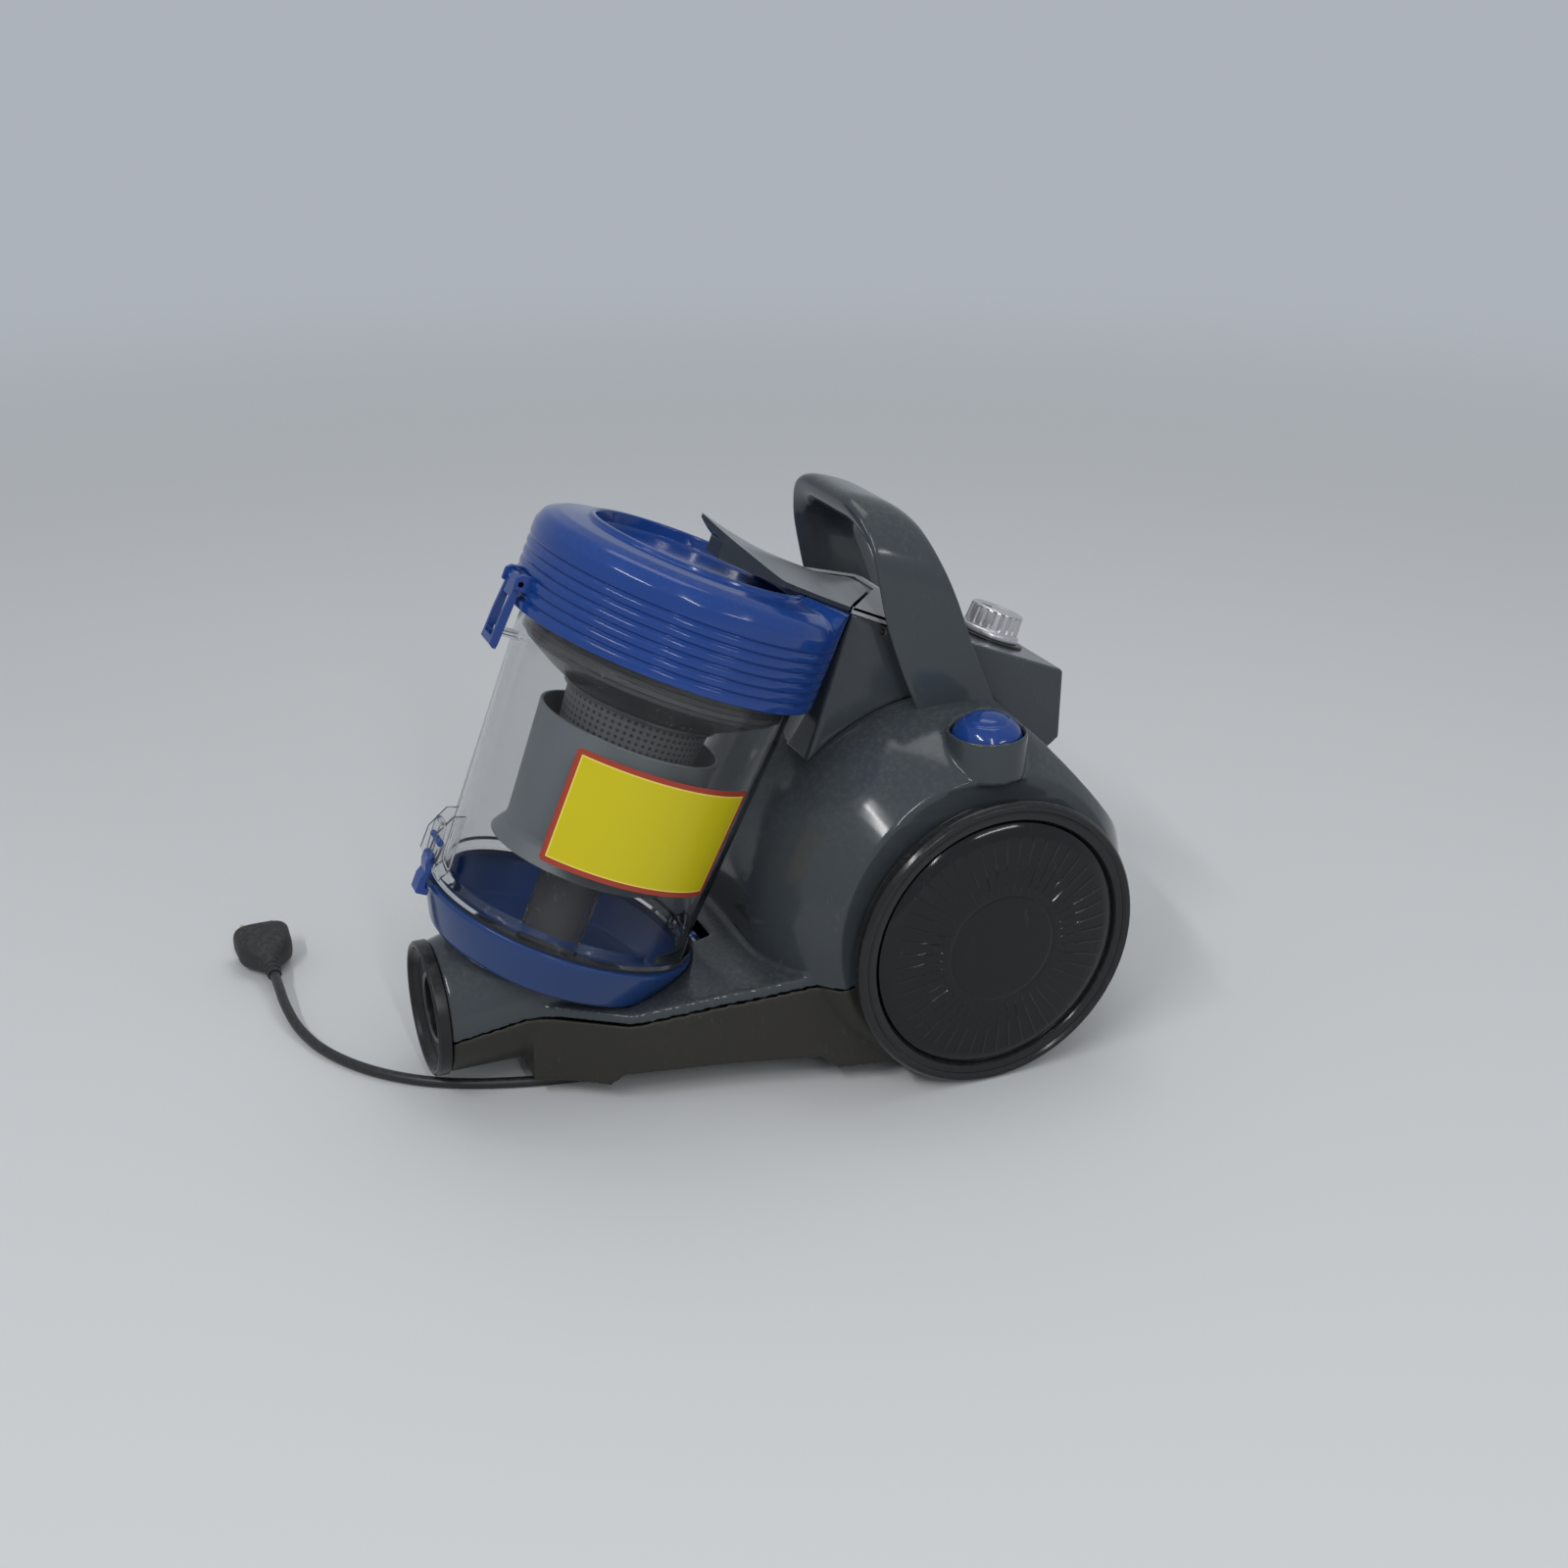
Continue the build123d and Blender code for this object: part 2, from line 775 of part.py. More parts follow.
# lower chassis: keel, axle bosses, caster well, motor saddles, cord outlet
floor_in = floor_clear + wall
well_place = Plane(origin=(0, caster_y, 0))
with BuildPart() as lower_chassis:
    add(casing_shell.part)
    add(below_seam(0), mode=Mode.INTERSECT)
    add(bowl_clear, mode=Mode.SUBTRACT)
    # caster well with its stem boss
    add(disc(well_place, caster_well_r + wall, floor_clear, caster_ceiling + wall))
    add(disc(well_place, caster_stem_r + wall, caster_ceiling, caster_stem_top))
    add(disc(well_place, caster_well_r, 0, caster_ceiling), mode=Mode.SUBTRACT)
    add(disc(well_place, caster_stem_r + running, 0, caster_stem_top + 1), mode=Mode.SUBTRACT)
    # bosses that hold the wheel axles
    for sign in (1, -1):
        axle_at = cross_plane(0, wheel_y, wheel_r)
        low_x, high_x = sorted((sign * axle_in, sign * (drum_half - 0.5)))
        add(disc(axle_at, axle_r + 5, low_x, high_x))
        post = brick(low_x, high_x, wheel_y - 3, wheel_y + 3, floor_clear + 1, wheel_r)
        add(post)
        low_x, high_x = sorted((sign * (axle_in - 5), sign * (drum_half + 5)))
        add(disc(axle_at, axle_r + running, low_x, high_x), mode=Mode.SUBTRACT)
    # saddles under the motor's rubber mounts
    for x in (motor_x0 + mount_w / 2, motor_x1 - mount_w / 2):
        add(
            brick(
                x - saddle_t / 2,
                x + saddle_t / 2,
                motor_y - motor_r - mount_t - 6,
                motor_y + motor_r + mount_t + 6,
                floor_clear + 1,
                motor_z,
            )
        )
        add(
            disc(
                cross_plane(x, motor_y, motor_z),
                motor_r + mount_t + 2 * fit,
                -saddle_t,
                saddle_t,
            ),
            mode=Mode.SUBTRACT,
        )
    # rest under the hose socket
    add(
        brick(
            -8,
            8,
            socket_rest_y - 3,
            socket_rest_y + 3,
            floor_clear + 1,
            snout_z - hose_r - tube_t - fit,
        )
    )
    # screw towers
    for x0, y in (front_screw, rear_screw):
        for sign in (1, -1):
            tower = Plane(origin=(sign * x0, y, seam_z(y)))
            add(common(disc(tower, screw_tower_r, -120, 0), outer))
            add(disc(tower, screw_r + fit, -140, 1), mode=Mode.SUBTRACT)
            add(disc(tower, screw_head_r + fit, -140, -screw_seat), mode=Mode.SUBTRACT)
    # nose for the cord's strain relief
    outlet = Plane(origin=(cord_out_x, 0, cord_out_z), x_dir=(1, 0, 0), z_dir=(0, 1, 0))
    add(disc(outlet, bush_r + wall, bush_y - 26, bush_y))
    add(disc(outlet, bush_r + running, bush_y - 40, bush_y + 5), mode=Mode.SUBTRACT)
    # the nose shoe and the tray are two mouldings that butt together
    split(bisect_by=Plane.XZ.offset(-nose_joint_y), keep=Keep.BOTH)
save(lower_chassis.part, "lower_chassis")
print("lower", lower_chassis.part.volume, len(lower_chassis.part.solids()))

# ---------------------------------------------------------------- fixed pieces of the body
# spine: pillar behind the cup and control block, one hollow moulding
spine_line = [
    (spine_front_y, spine_top_z),
    (spine_back_y, spine_back_z),
    (spine_back_y, spine_low_z),
    (spine_back_y - 12, spine_low_z - 9),
    (spine_back_y - 18, spine_low_z - 20),
    (30.0, 150.0),
    (spine_foot_y, spine_foot_z),
]
lid_space_r = lid_r + cradle_gap
front_wall_r = lid_space_r + port_seal_t + wall
lever_back = lever_axis_back + 4.5
with BuildPart() as spine_inside:
    with BuildSketch(side.offset(-spine_half + wall)):
        with BuildLine():
            Polyline(*spine_line, close=True)
        make_face()
        offset(amount=-wall, kind=Kind.INTERSECTION)
    extrude(amount=2 * (spine_half - wall))
    add(disc(cup_plane, front_wall_r, 0, 300), mode=Mode.SUBTRACT)
with BuildPart() as spine_housing:
    with BuildSketch(side.offset(-spine_half)):
        with BuildLine():
            Polyline(*spine_line, close=True)
        make_face()
    extrude(amount=2 * spine_half)
    rims = spine_housing.faces().filter_by(Axis.X).edges()
    fillet([e for e in rims if e.center().Z > spine_low_z + 20], radius=2.0)
    add(disc(cup_plane, lid_space_r, 0, 300), mode=Mode.SUBTRACT)
    add(drum_solid(-fit), mode=Mode.SUBTRACT)
    add(spine_inside.part, mode=Mode.SUBTRACT)
    # recess for the release lever, deeper where its rear edge swings down, and its pin's holes
    recess_back = lever_back + lever_swing_gap
    recess_low = lever_low - lever_swing_gap
    add(
        cup_brick(-spine_half, spine_half, 0, recess_back, lever_low - fit, 260),
        mode=Mode.SUBTRACT,
    )
    add(
        cup_brick(-spine_half, spine_half, lever_axis_back - 3, recess_back, recess_low, 260),
        mode=Mode.SUBTRACT,
    )
    lever_axis = cup_point(0, lever_axis_back, lever_axis_up)
    add(
        disc(
            cross_plane(0, lever_axis.Y, lever_axis.Z),
            lever_pin_r + running,
            -spine_half,
            spine_half,
        ),
        mode=Mode.SUBTRACT,
    )
    # air port towards the cup's lid, with the seat of its seal
    add(disc(port_plane, port_r, lid_r - 20, front_wall_r + 20), mode=Mode.SUBTRACT)
    add(
        disc(port_plane, port_r + port_seal_w + fit, lid_r - 20, lid_space_r + port_seal_t),
        mode=Mode.SUBTRACT,
    )
    # posts that carry the circuit board, and the knob's hole
    with BuildSketch(top_plane.offset(-board_depth)):
        with Locations(*board_posts):
            Circle(3)
    extrude(amount=board_depth - wall + 0.5)
    add(disc(top_plane, bushing_r + running, -wall - 1, 1), mode=Mode.SUBTRACT)
save(spine_housing.part, "spine_housing")
print("spine", spine_housing.part.volume, len(spine_housing.part.solids()))

# carry handle: an arch across the body
with BuildPart() as carry_handle:
    with BuildSketch(side.offset(-handle_out)):
        with BuildLine():
            Spline(*handle_back)
            Polyline(handle_back[-1], handle_tip_back, handle_tip_front, handle_front[0])
            Spline(*handle_front)
            Polyline(handle_front[-1], handle_back[0])
        make_face()
    extrude(amount=2 * handle_out)
    slope = math.radians(handle_slope)
    arch = Plane(
        origin=(0, 31.0, handle_top_z),
        x_dir=(1, 0, 0),
        z_dir=(0, -math.cos(slope), math.sin(slope)),
    )
    with BuildSketch(arch.offset(-120)):
        with Locations((0, -100)):
            RectangleRounded(2 * handle_out, 200, handle_corner_r)
        with Locations((0, -100 - handle_grip_t)):
            RectangleRounded(2 * handle_in, 200, handle_corner_r - 10, mode=Mode.SUBTRACT)
        with Locations((0, -190)):
            Rectangle(3 * handle_out, 60, mode=Mode.SUBTRACT)
    extrude(amount=200, mode=Mode.INTERSECT)
    add(drum_solid(-fit), mode=Mode.SUBTRACT)
save(carry_handle.part, "carry_handle")
print("handle", carry_handle.part.volume, len(carry_handle.part.solids()))

# ring round the hose socket's mouth
mouth_axis = Axis((0, 0, snout_z), (0, 1, 0))
mouth_side = Plane(origin=(0, 0, snout_z), x_dir=(0, 1, 0), z_dir=(1, 0, 0))
with BuildPart() as mouth_ring:
    with BuildSketch(mouth_side):
        with BuildLine():
            Polyline(
                (snout_mouth_y, mouth_r - 1),
                (snout_mouth_y + 1, mouth_r),
                (snout_y - fit, mouth_r),
                (snout_y - fit, mouth_collar_r),
                (snout_y + 4, mouth_collar_r),
                (snout_y + 4, mouth_collar_r - wall),
                (snout_y - 3, mouth_collar_r - wall),
                (snout_y - 1, hose_r + tube_t),
                (snout_y + 3 - fit, hose_r + tube_t),
                (snout_y + 3 - fit, hose_r + 1),
                (snout_y - 4, hose_r + 1),
                (snout_mouth_y + 1, mouth_r - 4),
                (snout_mouth_y, mouth_r - 3),
                close=True,
            )
        make_face()
    revolve(axis=mouth_axis)
save(mouth_ring.part, "mouth_ring")

# hose socket: straight bore, elbow and flange under the cradle
duct_end = cup_point(0, 0, port_low_h)
rise = (duct_end.Z - snout_z) / cup_plane.z_dir.Z
duct_corner = (0, duct_end.Y - rise * cup_plane.z_dir.Y, snout_z)
duct_start = (0, snout_y + 3, snout_z)
with BuildPart() as hose_socket:
    with BuildLine() as duct_path:
        FilletPolyline(duct_start, duct_corner, tuple(duct_end), radius=elbow_r)
    with BuildSketch(Plane(origin=duct_start, x_dir=(1, 0, 0), z_dir=(0, 1, 0))):
        Circle(hose_r + tube_t)
        Circle(hose_r, mode=Mode.SUBTRACT)
    sweep(path=duct_path.line)
    add(ring(cup_plane, flange_r, hose_r, port_low_h - 2.5, port_low_h))
save(hose_socket.part, "hose_socket")
print("socket", hose_socket.part.volume, len(hose_socket.part.solids()))

# soft ring between the hose socket and the cup's bottom door
inlet_seal = ring(cup_plane, seal_out_r, hose_r, port_low_h, -door_h - fit)
save(inlet_seal, "inlet_seal")

# soft ring between the lid's rear port and the spine
with BuildPart() as outlet_seal:
    add(ring(port_plane, port_r + port_seal_w, port_r, lid_r - 20, lid_space_r + port_seal_t))
    add(disc(cup_plane, lid_r + fit, 0, 300), mode=Mode.SUBTRACT)
save(outlet_seal.part, "outlet_seal")

# dial plate under the power knob
dial_plate = ring(top_plane, dial_r, bushing_r + 1, 0, dial_t)
save(dial_plate, "dial_plate")

# speed control with its bushing, and the board that it stands on
with BuildPart() as speed_control:
    add(disc(top_plane, control_r, -board_depth, -wall - fit))
    add(disc(top_plane, bushing_r, -wall - fit, dial_t))
    add(disc(top_plane, shaft_r + running, -board_depth + 2, dial_t + 1), mode=Mode.SUBTRACT)
save(speed_control.part, "speed_control")

with BuildPart() as circuit_board:
    with BuildSketch(top_plane.offset(-board_depth - board_t)):
        with Locations((0, board_shift)):
            Rectangle(board_w, board_l)
    extrude(amount=board_t)
    # parts on the board: capacitor, driver and coil
    with BuildSketch(top_plane.offset(-board_depth)):
        with Locations((-15, board_shift - 18)):
            Circle(4.5)
        with Locations((14, board_shift - 18)):
            Rectangle(12, 8)
    extrude(amount=6)
save(circuit_board.part, "circuit_board")

# motor can with end plates, on two rubber mounts
motor_can = cross_spun(
    motor_y,
    motor_z,
    [
        (motor_x0, shaft_r + 1 + running),
        (motor_x0, motor_r),
        (motor_x1, motor_r),
        (motor_x1, port_r),
        (motor_x1 - 2, port_r),
        (motor_x1 - 2, motor_r - 2),
        (motor_x0 + 3, motor_r - 2),
        (motor_x0 + 3, shaft_r + 1 + running),
    ],
)
save(motor_can, "motor_can")
motor_at = cross_plane(0, motor_y, motor_z)
with BuildPart() as motor_mounts:
    for x0 in (motor_x0, motor_x1 - mount_w):
        add(ring(motor_at, motor_r + fit + mount_t, motor_r + fit, x0, x0 + mount_w))
save(motor_mounts.part, "motor_mounts")

# motor rotor and its fan wheel
motor_rotor = cross_spun(
    motor_y,
    motor_z,
    [
        (motor_x0 - 4, 0),
        (motor_x0 - 4, shaft_r + 1),
        (motor_x0 + 14, shaft_r + 1),
        (motor_x0 + 14, rotor_r),
        (fan_x0 - 8, rotor_r),
        (fan_x0 - 8, shaft_r + 1),
        (motor_x1 - 4, shaft_r + 1),
        (motor_x1 - 4, 0),
    ],
)
save(motor_rotor, "motor_rotor")
fan_plane = cross_plane(fan_x0, motor_y, motor_z)
with BuildPart() as fan_wheel:
    add(ring(fan_plane, fan_r, shaft_r + 1 + running, 0, 2))
    add(ring(fan_plane, shaft_r + 4, shaft_r + 1 + running, 0, fan_w))
    with BuildSketch(fan_plane.offset(1)):
        with PolarLocations((fan_r + shaft_r + 4) / 2, fan_blades):
            Rectangle(fan_r - shaft_r - 5, 1.5, rotation=25)
    extrude(amount=fan_w - 1)
save(fan_wheel.part, "fan_wheel")

# cord reel, its winding, its spring and the bracket that carries them
with BuildPart() as cord_reel:
    add(
        cross_spun(
            reel_y,
            reel_z,
            [
                (reel_x0, reel_axle_r + running),
                (reel_x0, reel_r),
                (reel_x0 + flange_t, reel_r),
                (reel_x0 + flange_t, reel_hub_r),
                (reel_x1 - flange_t, reel_hub_r),
                (reel_x1 - flange_t, reel_r),
                (reel_x1, reel_r),
                (reel_x1, reel_hub_r - wall),
                (reel_x0 + 2 * flange_t, reel_hub_r - wall),
                (reel_x0 + 2 * flange_t, reel_axle_r + 4),
                (reel_x1, reel_axle_r + 4),
                (reel_x1, reel_axle_r + running),
            ],
        )
    )
save(cord_reel.part, "cord_reel")
winding_w = reel_x1 - reel_x0 - 2 * flange_t - 2 * fit
winding_area = wound_length * math.pi * cord_r**2 / winding_fill / winding_w
winding_r = math.sqrt((reel_hub_r + fit) ** 2 + winding_area / math.pi)
reel_at = cross_plane(0, reel_y, reel_z)
wound_cord = ring(
    reel_at, winding_r, reel_hub_r + fit, reel_x0 + flange_t + fit, reel_x1 - flange_t - fit
)
save(wound_cord, "wound_cord")
mainspring = ring(
    reel_at,
    reel_hub_r - wall - fit,
    reel_axle_r + 4 + fit,
    reel_x0 + 2 * flange_t + fit,
    reel_x0 + 2 * flange_t + fit + spring_band,
)
save(mainspring, "rewind_mainspring")
with BuildPart() as reel_bracket:
    add(
        brick(
            reel_x1 + 3,
            reel_x1 + 3 + bracket_t,
            reel_y - bracket_half,
            reel_y + bracket_half,
            floor_in,
            brake_z + 8,
        )
    )
    add(
        brick(
            reel_x1 + 3,
            reel_x1 + bracket_foot,
            reel_y - bracket_half,
            reel_y + bracket_half,
            floor_in,
            floor_in + 3,
        )
    )
    add(disc(reel_at, reel_axle_r, reel_x0 - 1, reel_x1 + 4))
    add(disc(reel_at, reel_axle_r + 6, reel_x1 + 1, reel_x1 + 4))
    brake_at = cross_plane(0, brake_y, brake_z)
    add(disc(brake_at, brake_pin_r, brake_x0 - 2, reel_x1 + 4))
save(reel_bracket.part, "reel_bracket")
print("bracket", len(reel_bracket.part.solids()))

# reel brake: a rocker between the rewind pedal and the reel's rim
pad_y = reel_y - (reel_r + pad_r + fit) * math.sin(math.radians(pad_angle))
pad_z = reel_z + (reel_r + pad_r + fit) * math.cos(math.radians(pad_angle))
stem_low = collar_floor - stem_below
with BuildPart() as brake_lever:
    with BuildSketch(cross_plane(brake_x0, 0, 0)):
        with BuildLine():
            Polyline(
                (brake_y, brake_z + 6),
                (pedal_y - 5, stem_low - fit),
                (pedal_y + 3, stem_low - fit),
                (pedal_y + 3, stem_low - 4),
                (brake_y + 5, brake_z - 4),
                (brake_y, brake_z - 6),
                (pad_y + 2, pad_z + pad_r + fit),
                (pad_y - 5, pad_z + pad_r + fit),
                (pad_y - 5, pad_z + pad_r + 4),
                close=True,
            )
        make_face()
    extrude(amount=brake_w)
    add(disc(brake_at, brake_pin_r + 3.5, brake_x0, brake_x0 + brake_w))
    add(
        disc(brake_at, brake_pin_r + running, brake_x0 - 1, brake_x0 + brake_w + 1),
        mode=Mode.SUBTRACT,
    )
save(brake_lever.part, "brake_lever")
brake_pad = disc(cross_plane(0, pad_y, pad_z), pad_r, brake_x0, brake_x0 + brake_w)
save(brake_pad, "brake_pad")

# switch under the power pedal
with BuildPart() as power_switch:
    add(
        brick(
            pedal_x - 9,
            pedal_x + 9,
            pedal_y - 7,
            pedal_y + 7,
            collar_floor - switch_h,
            collar_floor,
        )
    )
    stem_at = Plane(origin=(pedal_x, pedal_y, 0))
    add(
        disc(stem_at, stem_r + 0.5, stem_low - pedal_travel - 2, collar_floor + 1),
        mode=Mode.SUBTRACT,
    )
save(power_switch.part, "power_switch")

# exhaust filter in its well, and the louvred cover that hinges over it
with BuildPart() as exhaust_filter:
    add(
        brick(
            -window_half + fit,
            window_half - fit,
            filter_y + fit,
            filter_y + filter_depth,
            window_low_z + fit,
            window_high_z - fit,
        )
    )
    add(drum_solid(wall), mode=Mode.INTERSECT)
save(exhaust_filter.part, "exhaust_filter")
cover_line = [
    (180.0, 151.0),
    (187.0, 147.5),
    (209.0, 127.0),
    (216.0, 113.0),
    (219.0, 99.0),
    (218.0, 86.0),
    (grille_axis_y + 1.5, grille_axis_z - 2.5),
    (190.0, grille_axis_z - 2.5),
    (160.0, 120.0),
]
with BuildPart() as cover_inside:
    with BuildSketch(side.offset(-grille_half + grille_t)):
        with BuildLine():
            Polyline(*cover_line, close=True)
        make_face()
        offset(amount=-grille_t, kind=Kind.INTERSECTION)
    extrude(amount=2 * (grille_half - grille_t))
with BuildPart() as exhaust_grille:
    with BuildSketch(side.offset(-grille_half)):
        with BuildLine():
            Polyline(*cover_line, close=True)
        make_face()
    extrude(amount=2 * grille_half)
    add(cover_inside.part, mode=Mode.SUBTRACT)
    add(drum_solid(-fit), mode=Mode.SUBTRACT)
    # the lowest part keeps clear of the drum as the cover swings
    add(
        brick(
            -grille_half - 1,
            grille_half + 1,
            grille_axis_y - 30,
            grille_axis_y - 2.2,
            grille_axis_z - 8,
            grille_axis_z + 7,
        ),
        mode=Mode.SUBTRACT,
    )
    for i in range(louvre_count):
        z = louvre_low + i * louvre_pitch
        add(
            brick(-louvre_half, louvre_half, drum_y + 110, drum_y + 150, z, z + louvre_h),
            mode=Mode.SUBTRACT,
        )
    for sign in (1, -1):
        low_x, high_x = sorted((sign * (grille_half - grille_t), sign * (grille_half + 5)))
        grille_at = cross_plane(0, grille_axis_y, grille_axis_z)
        add(disc(grille_at, grille_pin_r, low_x, high_x))
save(exhaust_grille.part, "exhaust_grille")
print("grille", len(exhaust_grille.part.solids()), exhaust_grille.part.volume)

# screws between lower chassis and upper housing
with BuildPart() as housing_screws:
    for x0, y in (front_screw, rear_screw):
        reach = deck_t - wall - 0.5 if y < 0 else rear_boss_h - wall - 0.5
        for sign in (1, -1):
            at = Plane(origin=(sign * x0, y, seam_z(y)))
            add(disc(at, screw_head_r, -screw_seat - 2.4, -screw_seat))
            add(disc(at, screw_r, -screw_seat, reach))
save(housing_screws.part, "housing_screws")

# ---------------------------------------------------------------- wheels
axle_at = cross_plane(0, wheel_y, wheel_r)
with BuildPart() as wheel_axles:
    for sign in (1, -1):
        low_x, high_x = sorted((sign * axle_in, sign * (hub_end + axle_head_t)))
        add(disc(axle_at, axle_r, low_x, high_x))
        low_x, high_x = sorted((sign * (hub_end + running), sign * (hub_end + axle_head_t)))
        add(disc(axle_at, axle_head_r, low_x, high_x))
save(wheel_axles.part, "wheel_axles")
for side_name, sign in (("left", 1), ("right", -1)):
    with BuildPart() as wheel_disc:
        with BuildSketch(wheel_plane(sign)):
            with BuildLine():
                Polyline(
                    (disc_edge_x, disc_r - 2),
                    (disc_edge_x - 2, disc_r),
                    (wheel_in + 2, disc_r),
                    (wheel_in + 2, disc_r - 3),
                    (disc_edge_x - 4, disc_r - 3),
                )
                ThreePointArc(
                    (disc_edge_x - 4, disc_r - 3),
                    (disc_edge_x - 3 + dome * 0.72, disc_r * 0.52),
                    (disc_edge_x - 3 + dome, hub_r),
                )
                Polyline(
                    (disc_edge_x - 3 + dome, hub_r),
                    (wheel_in, hub_r),
                    (wheel_in, axle_r + running),
                    (hub_end, axle_r + running),
                    (hub_end, axle_head_r + 0.5),
                    (hub_end + axle_head_t + 0.6, axle_head_r + 0.5),
                    (hub_end + axle_head_t + 0.6, 0),
                    (disc_edge_x + dome, 0),
                )
                ThreePointArc(
                    (disc_edge_x + dome, 0),
                    (disc_edge_x + dome * 0.75, disc_r / 2),
                    (disc_edge_x, disc_r - 2),
                )
            make_face()
        revolve(axis=Axis((0, wheel_y, wheel_r), (1, 0, 0)))
        # fine radial ribs pressed into the disc
        with BuildSketch(wheel_rib_plane(sign)):
            with PolarLocations((wheel_rib_in + wheel_rib_out) / 2, wheel_rib_count):
                Rectangle(wheel_rib_out - wheel_rib_in, wheel_rib_w)
        extrude(amount=20, mode=Mode.SUBTRACT)
    save(wheel_disc.part, f"{side_name}_wheel_disc")
    tyre = spun(
        sign,
        [
            (wheel_in, wheel_r - tyre_depth),
            (wheel_in, wheel_r - 2),
            (wheel_in + 2, wheel_r),
            (tyre_face_x - 2, wheel_r),
            (tyre_face_x, wheel_r - 2),
            (tyre_face_x, wheel_r - 4.5),
            (tyre_face_x - 4.5, wheel_r - 7),
            (tyre_face_x - 4.5, wheel_r - tyre_depth),
        ],
    )
    save(tyre, f"{side_name}_tyre")
    print(side_name, len(wheel_disc.part.solids()))

# ---------------------------------------------------------------- caster
caster_at = cross_plane(0, caster_y + caster_trail, caster_r)
fork_top = caster_ceiling - fit
with BuildPart() as caster_fork:
    add(disc(well_place, fork_r, fork_top - 3, fork_top))
    add(disc(well_place, caster_stem_r, fork_top - 1, caster_stem_top - 0.5))
    for sign in (1, -1):
        low_x, high_x = sorted((sign * (caster_w / 2 + fit), sign * (caster_w / 2 + fit + 3)))
        add(
            brick(
                low_x,
                high_x,
                caster_y + caster_trail - 5,
                caster_y + caster_trail + 5,
                caster_r - 4,
                fork_top - 2,
            )
        )
    add(disc(caster_at, caster_pin_r + running, -30, 30), mode=Mode.SUBTRACT)
save(caster_fork.part, "caster_fork")
with BuildPart() as caster_wheel:
    add(ring(caster_at, caster_r, caster_pin_r + running, -caster_w / 2, caster_w / 2))
    fillet(caster_wheel.edges().filter_by(GeomType.CIRCLE).group_by(SortBy.RADIUS)[-1], radius=2)
save(caster_wheel.part, "caster_wheel")
pin_half = caster_w / 2 + fit + 3
caster_pin = disc(caster_at, caster_pin_r, -pin_half, pin_half)
save(caster_pin, "caster_pin")

# ---------------------------------------------------------------- pedals, knob, lever
for name, sign in (("power", 1), ("rewind", -1)):
    at = Plane(origin=(sign * pedal_x, pedal_y, 0))
    with BuildPart() as pedal:
        with BuildSketch(Plane(origin=at.origin, x_dir=(1, 0, 0), z_dir=(0, -1, 0))):
            with BuildLine():
                Polyline(
                    (0, collar_z + pedal_dome),
                    (pedal_r * 0.55, collar_z + pedal_dome - 0.8),
                    (pedal_r * 0.86, collar_z + pedal_dome - 3),
                    (pedal_r, collar_z + pedal_dome - 7),
                    (pedal_r, pedal_skirt_z),
                    (pedal_r - 2, pedal_skirt_z),
                    (pedal_r - 2, collar_z + pedal_dome - 9),
                    (stem_r, collar_z + pedal_dome - 6),
                    (stem_r, stem_low),
                    (0, stem_low),
                    close=True,
                )
            make_face()
        revolve(axis=Axis(at.origin, (0, 0, 1)))
    save(pedal.part, f"{name}_pedal")
    with BuildPart() as coil:
        low = collar_floor + wall + spring_wire
        top = collar_z + pedal_dome - 8.4 - spring_wire
        with BuildLine() as turns:
            Helix(
                pitch=(top - low) / spring_turns,
                height=top - low,
                radius=spring_r,
                center=(sign * pedal_x, pedal_y, low),
            )
        start = turns.line @ 0
        with BuildSketch(Plane(origin=start, z_dir=turns.line % 0)):
            Circle(spring_wire)
        sweep(path=turns.line, is_frenet=True)
    save(coil.part, f"{name}_pedal_spring")
    print(name, len(coil.part.solids()), coil.part.volume)

knob_low = dial_t + fit
with BuildPart() as power_knob:
    add(disc(top_plane, knob_r, knob_low, knob_low + knob_h))
    with BuildSketch(top_plane.offset(knob_low + knob_skirt)):
        with PolarLocations(knob_r + 0.3, knob_flutes):
            Circle(knob_flute_r)
    extrude(amount=knob_h, mode=Mode.SUBTRACT)
    add(ring(top_plane, knob_r + 1.5, knob_r - 3, knob_low, knob_low + knob_skirt))
    add(disc(top_plane, shaft_r + running, knob_low - 1, knob_low + shaft_up), mode=Mode.SUBTRACT)
save(power_knob.part, "power_knob")
knob_shaft = disc(top_plane, shaft_r, -board_depth + 2.5, knob_low + shaft_up - 0.2)
save(knob_shaft, "knob_shaft")


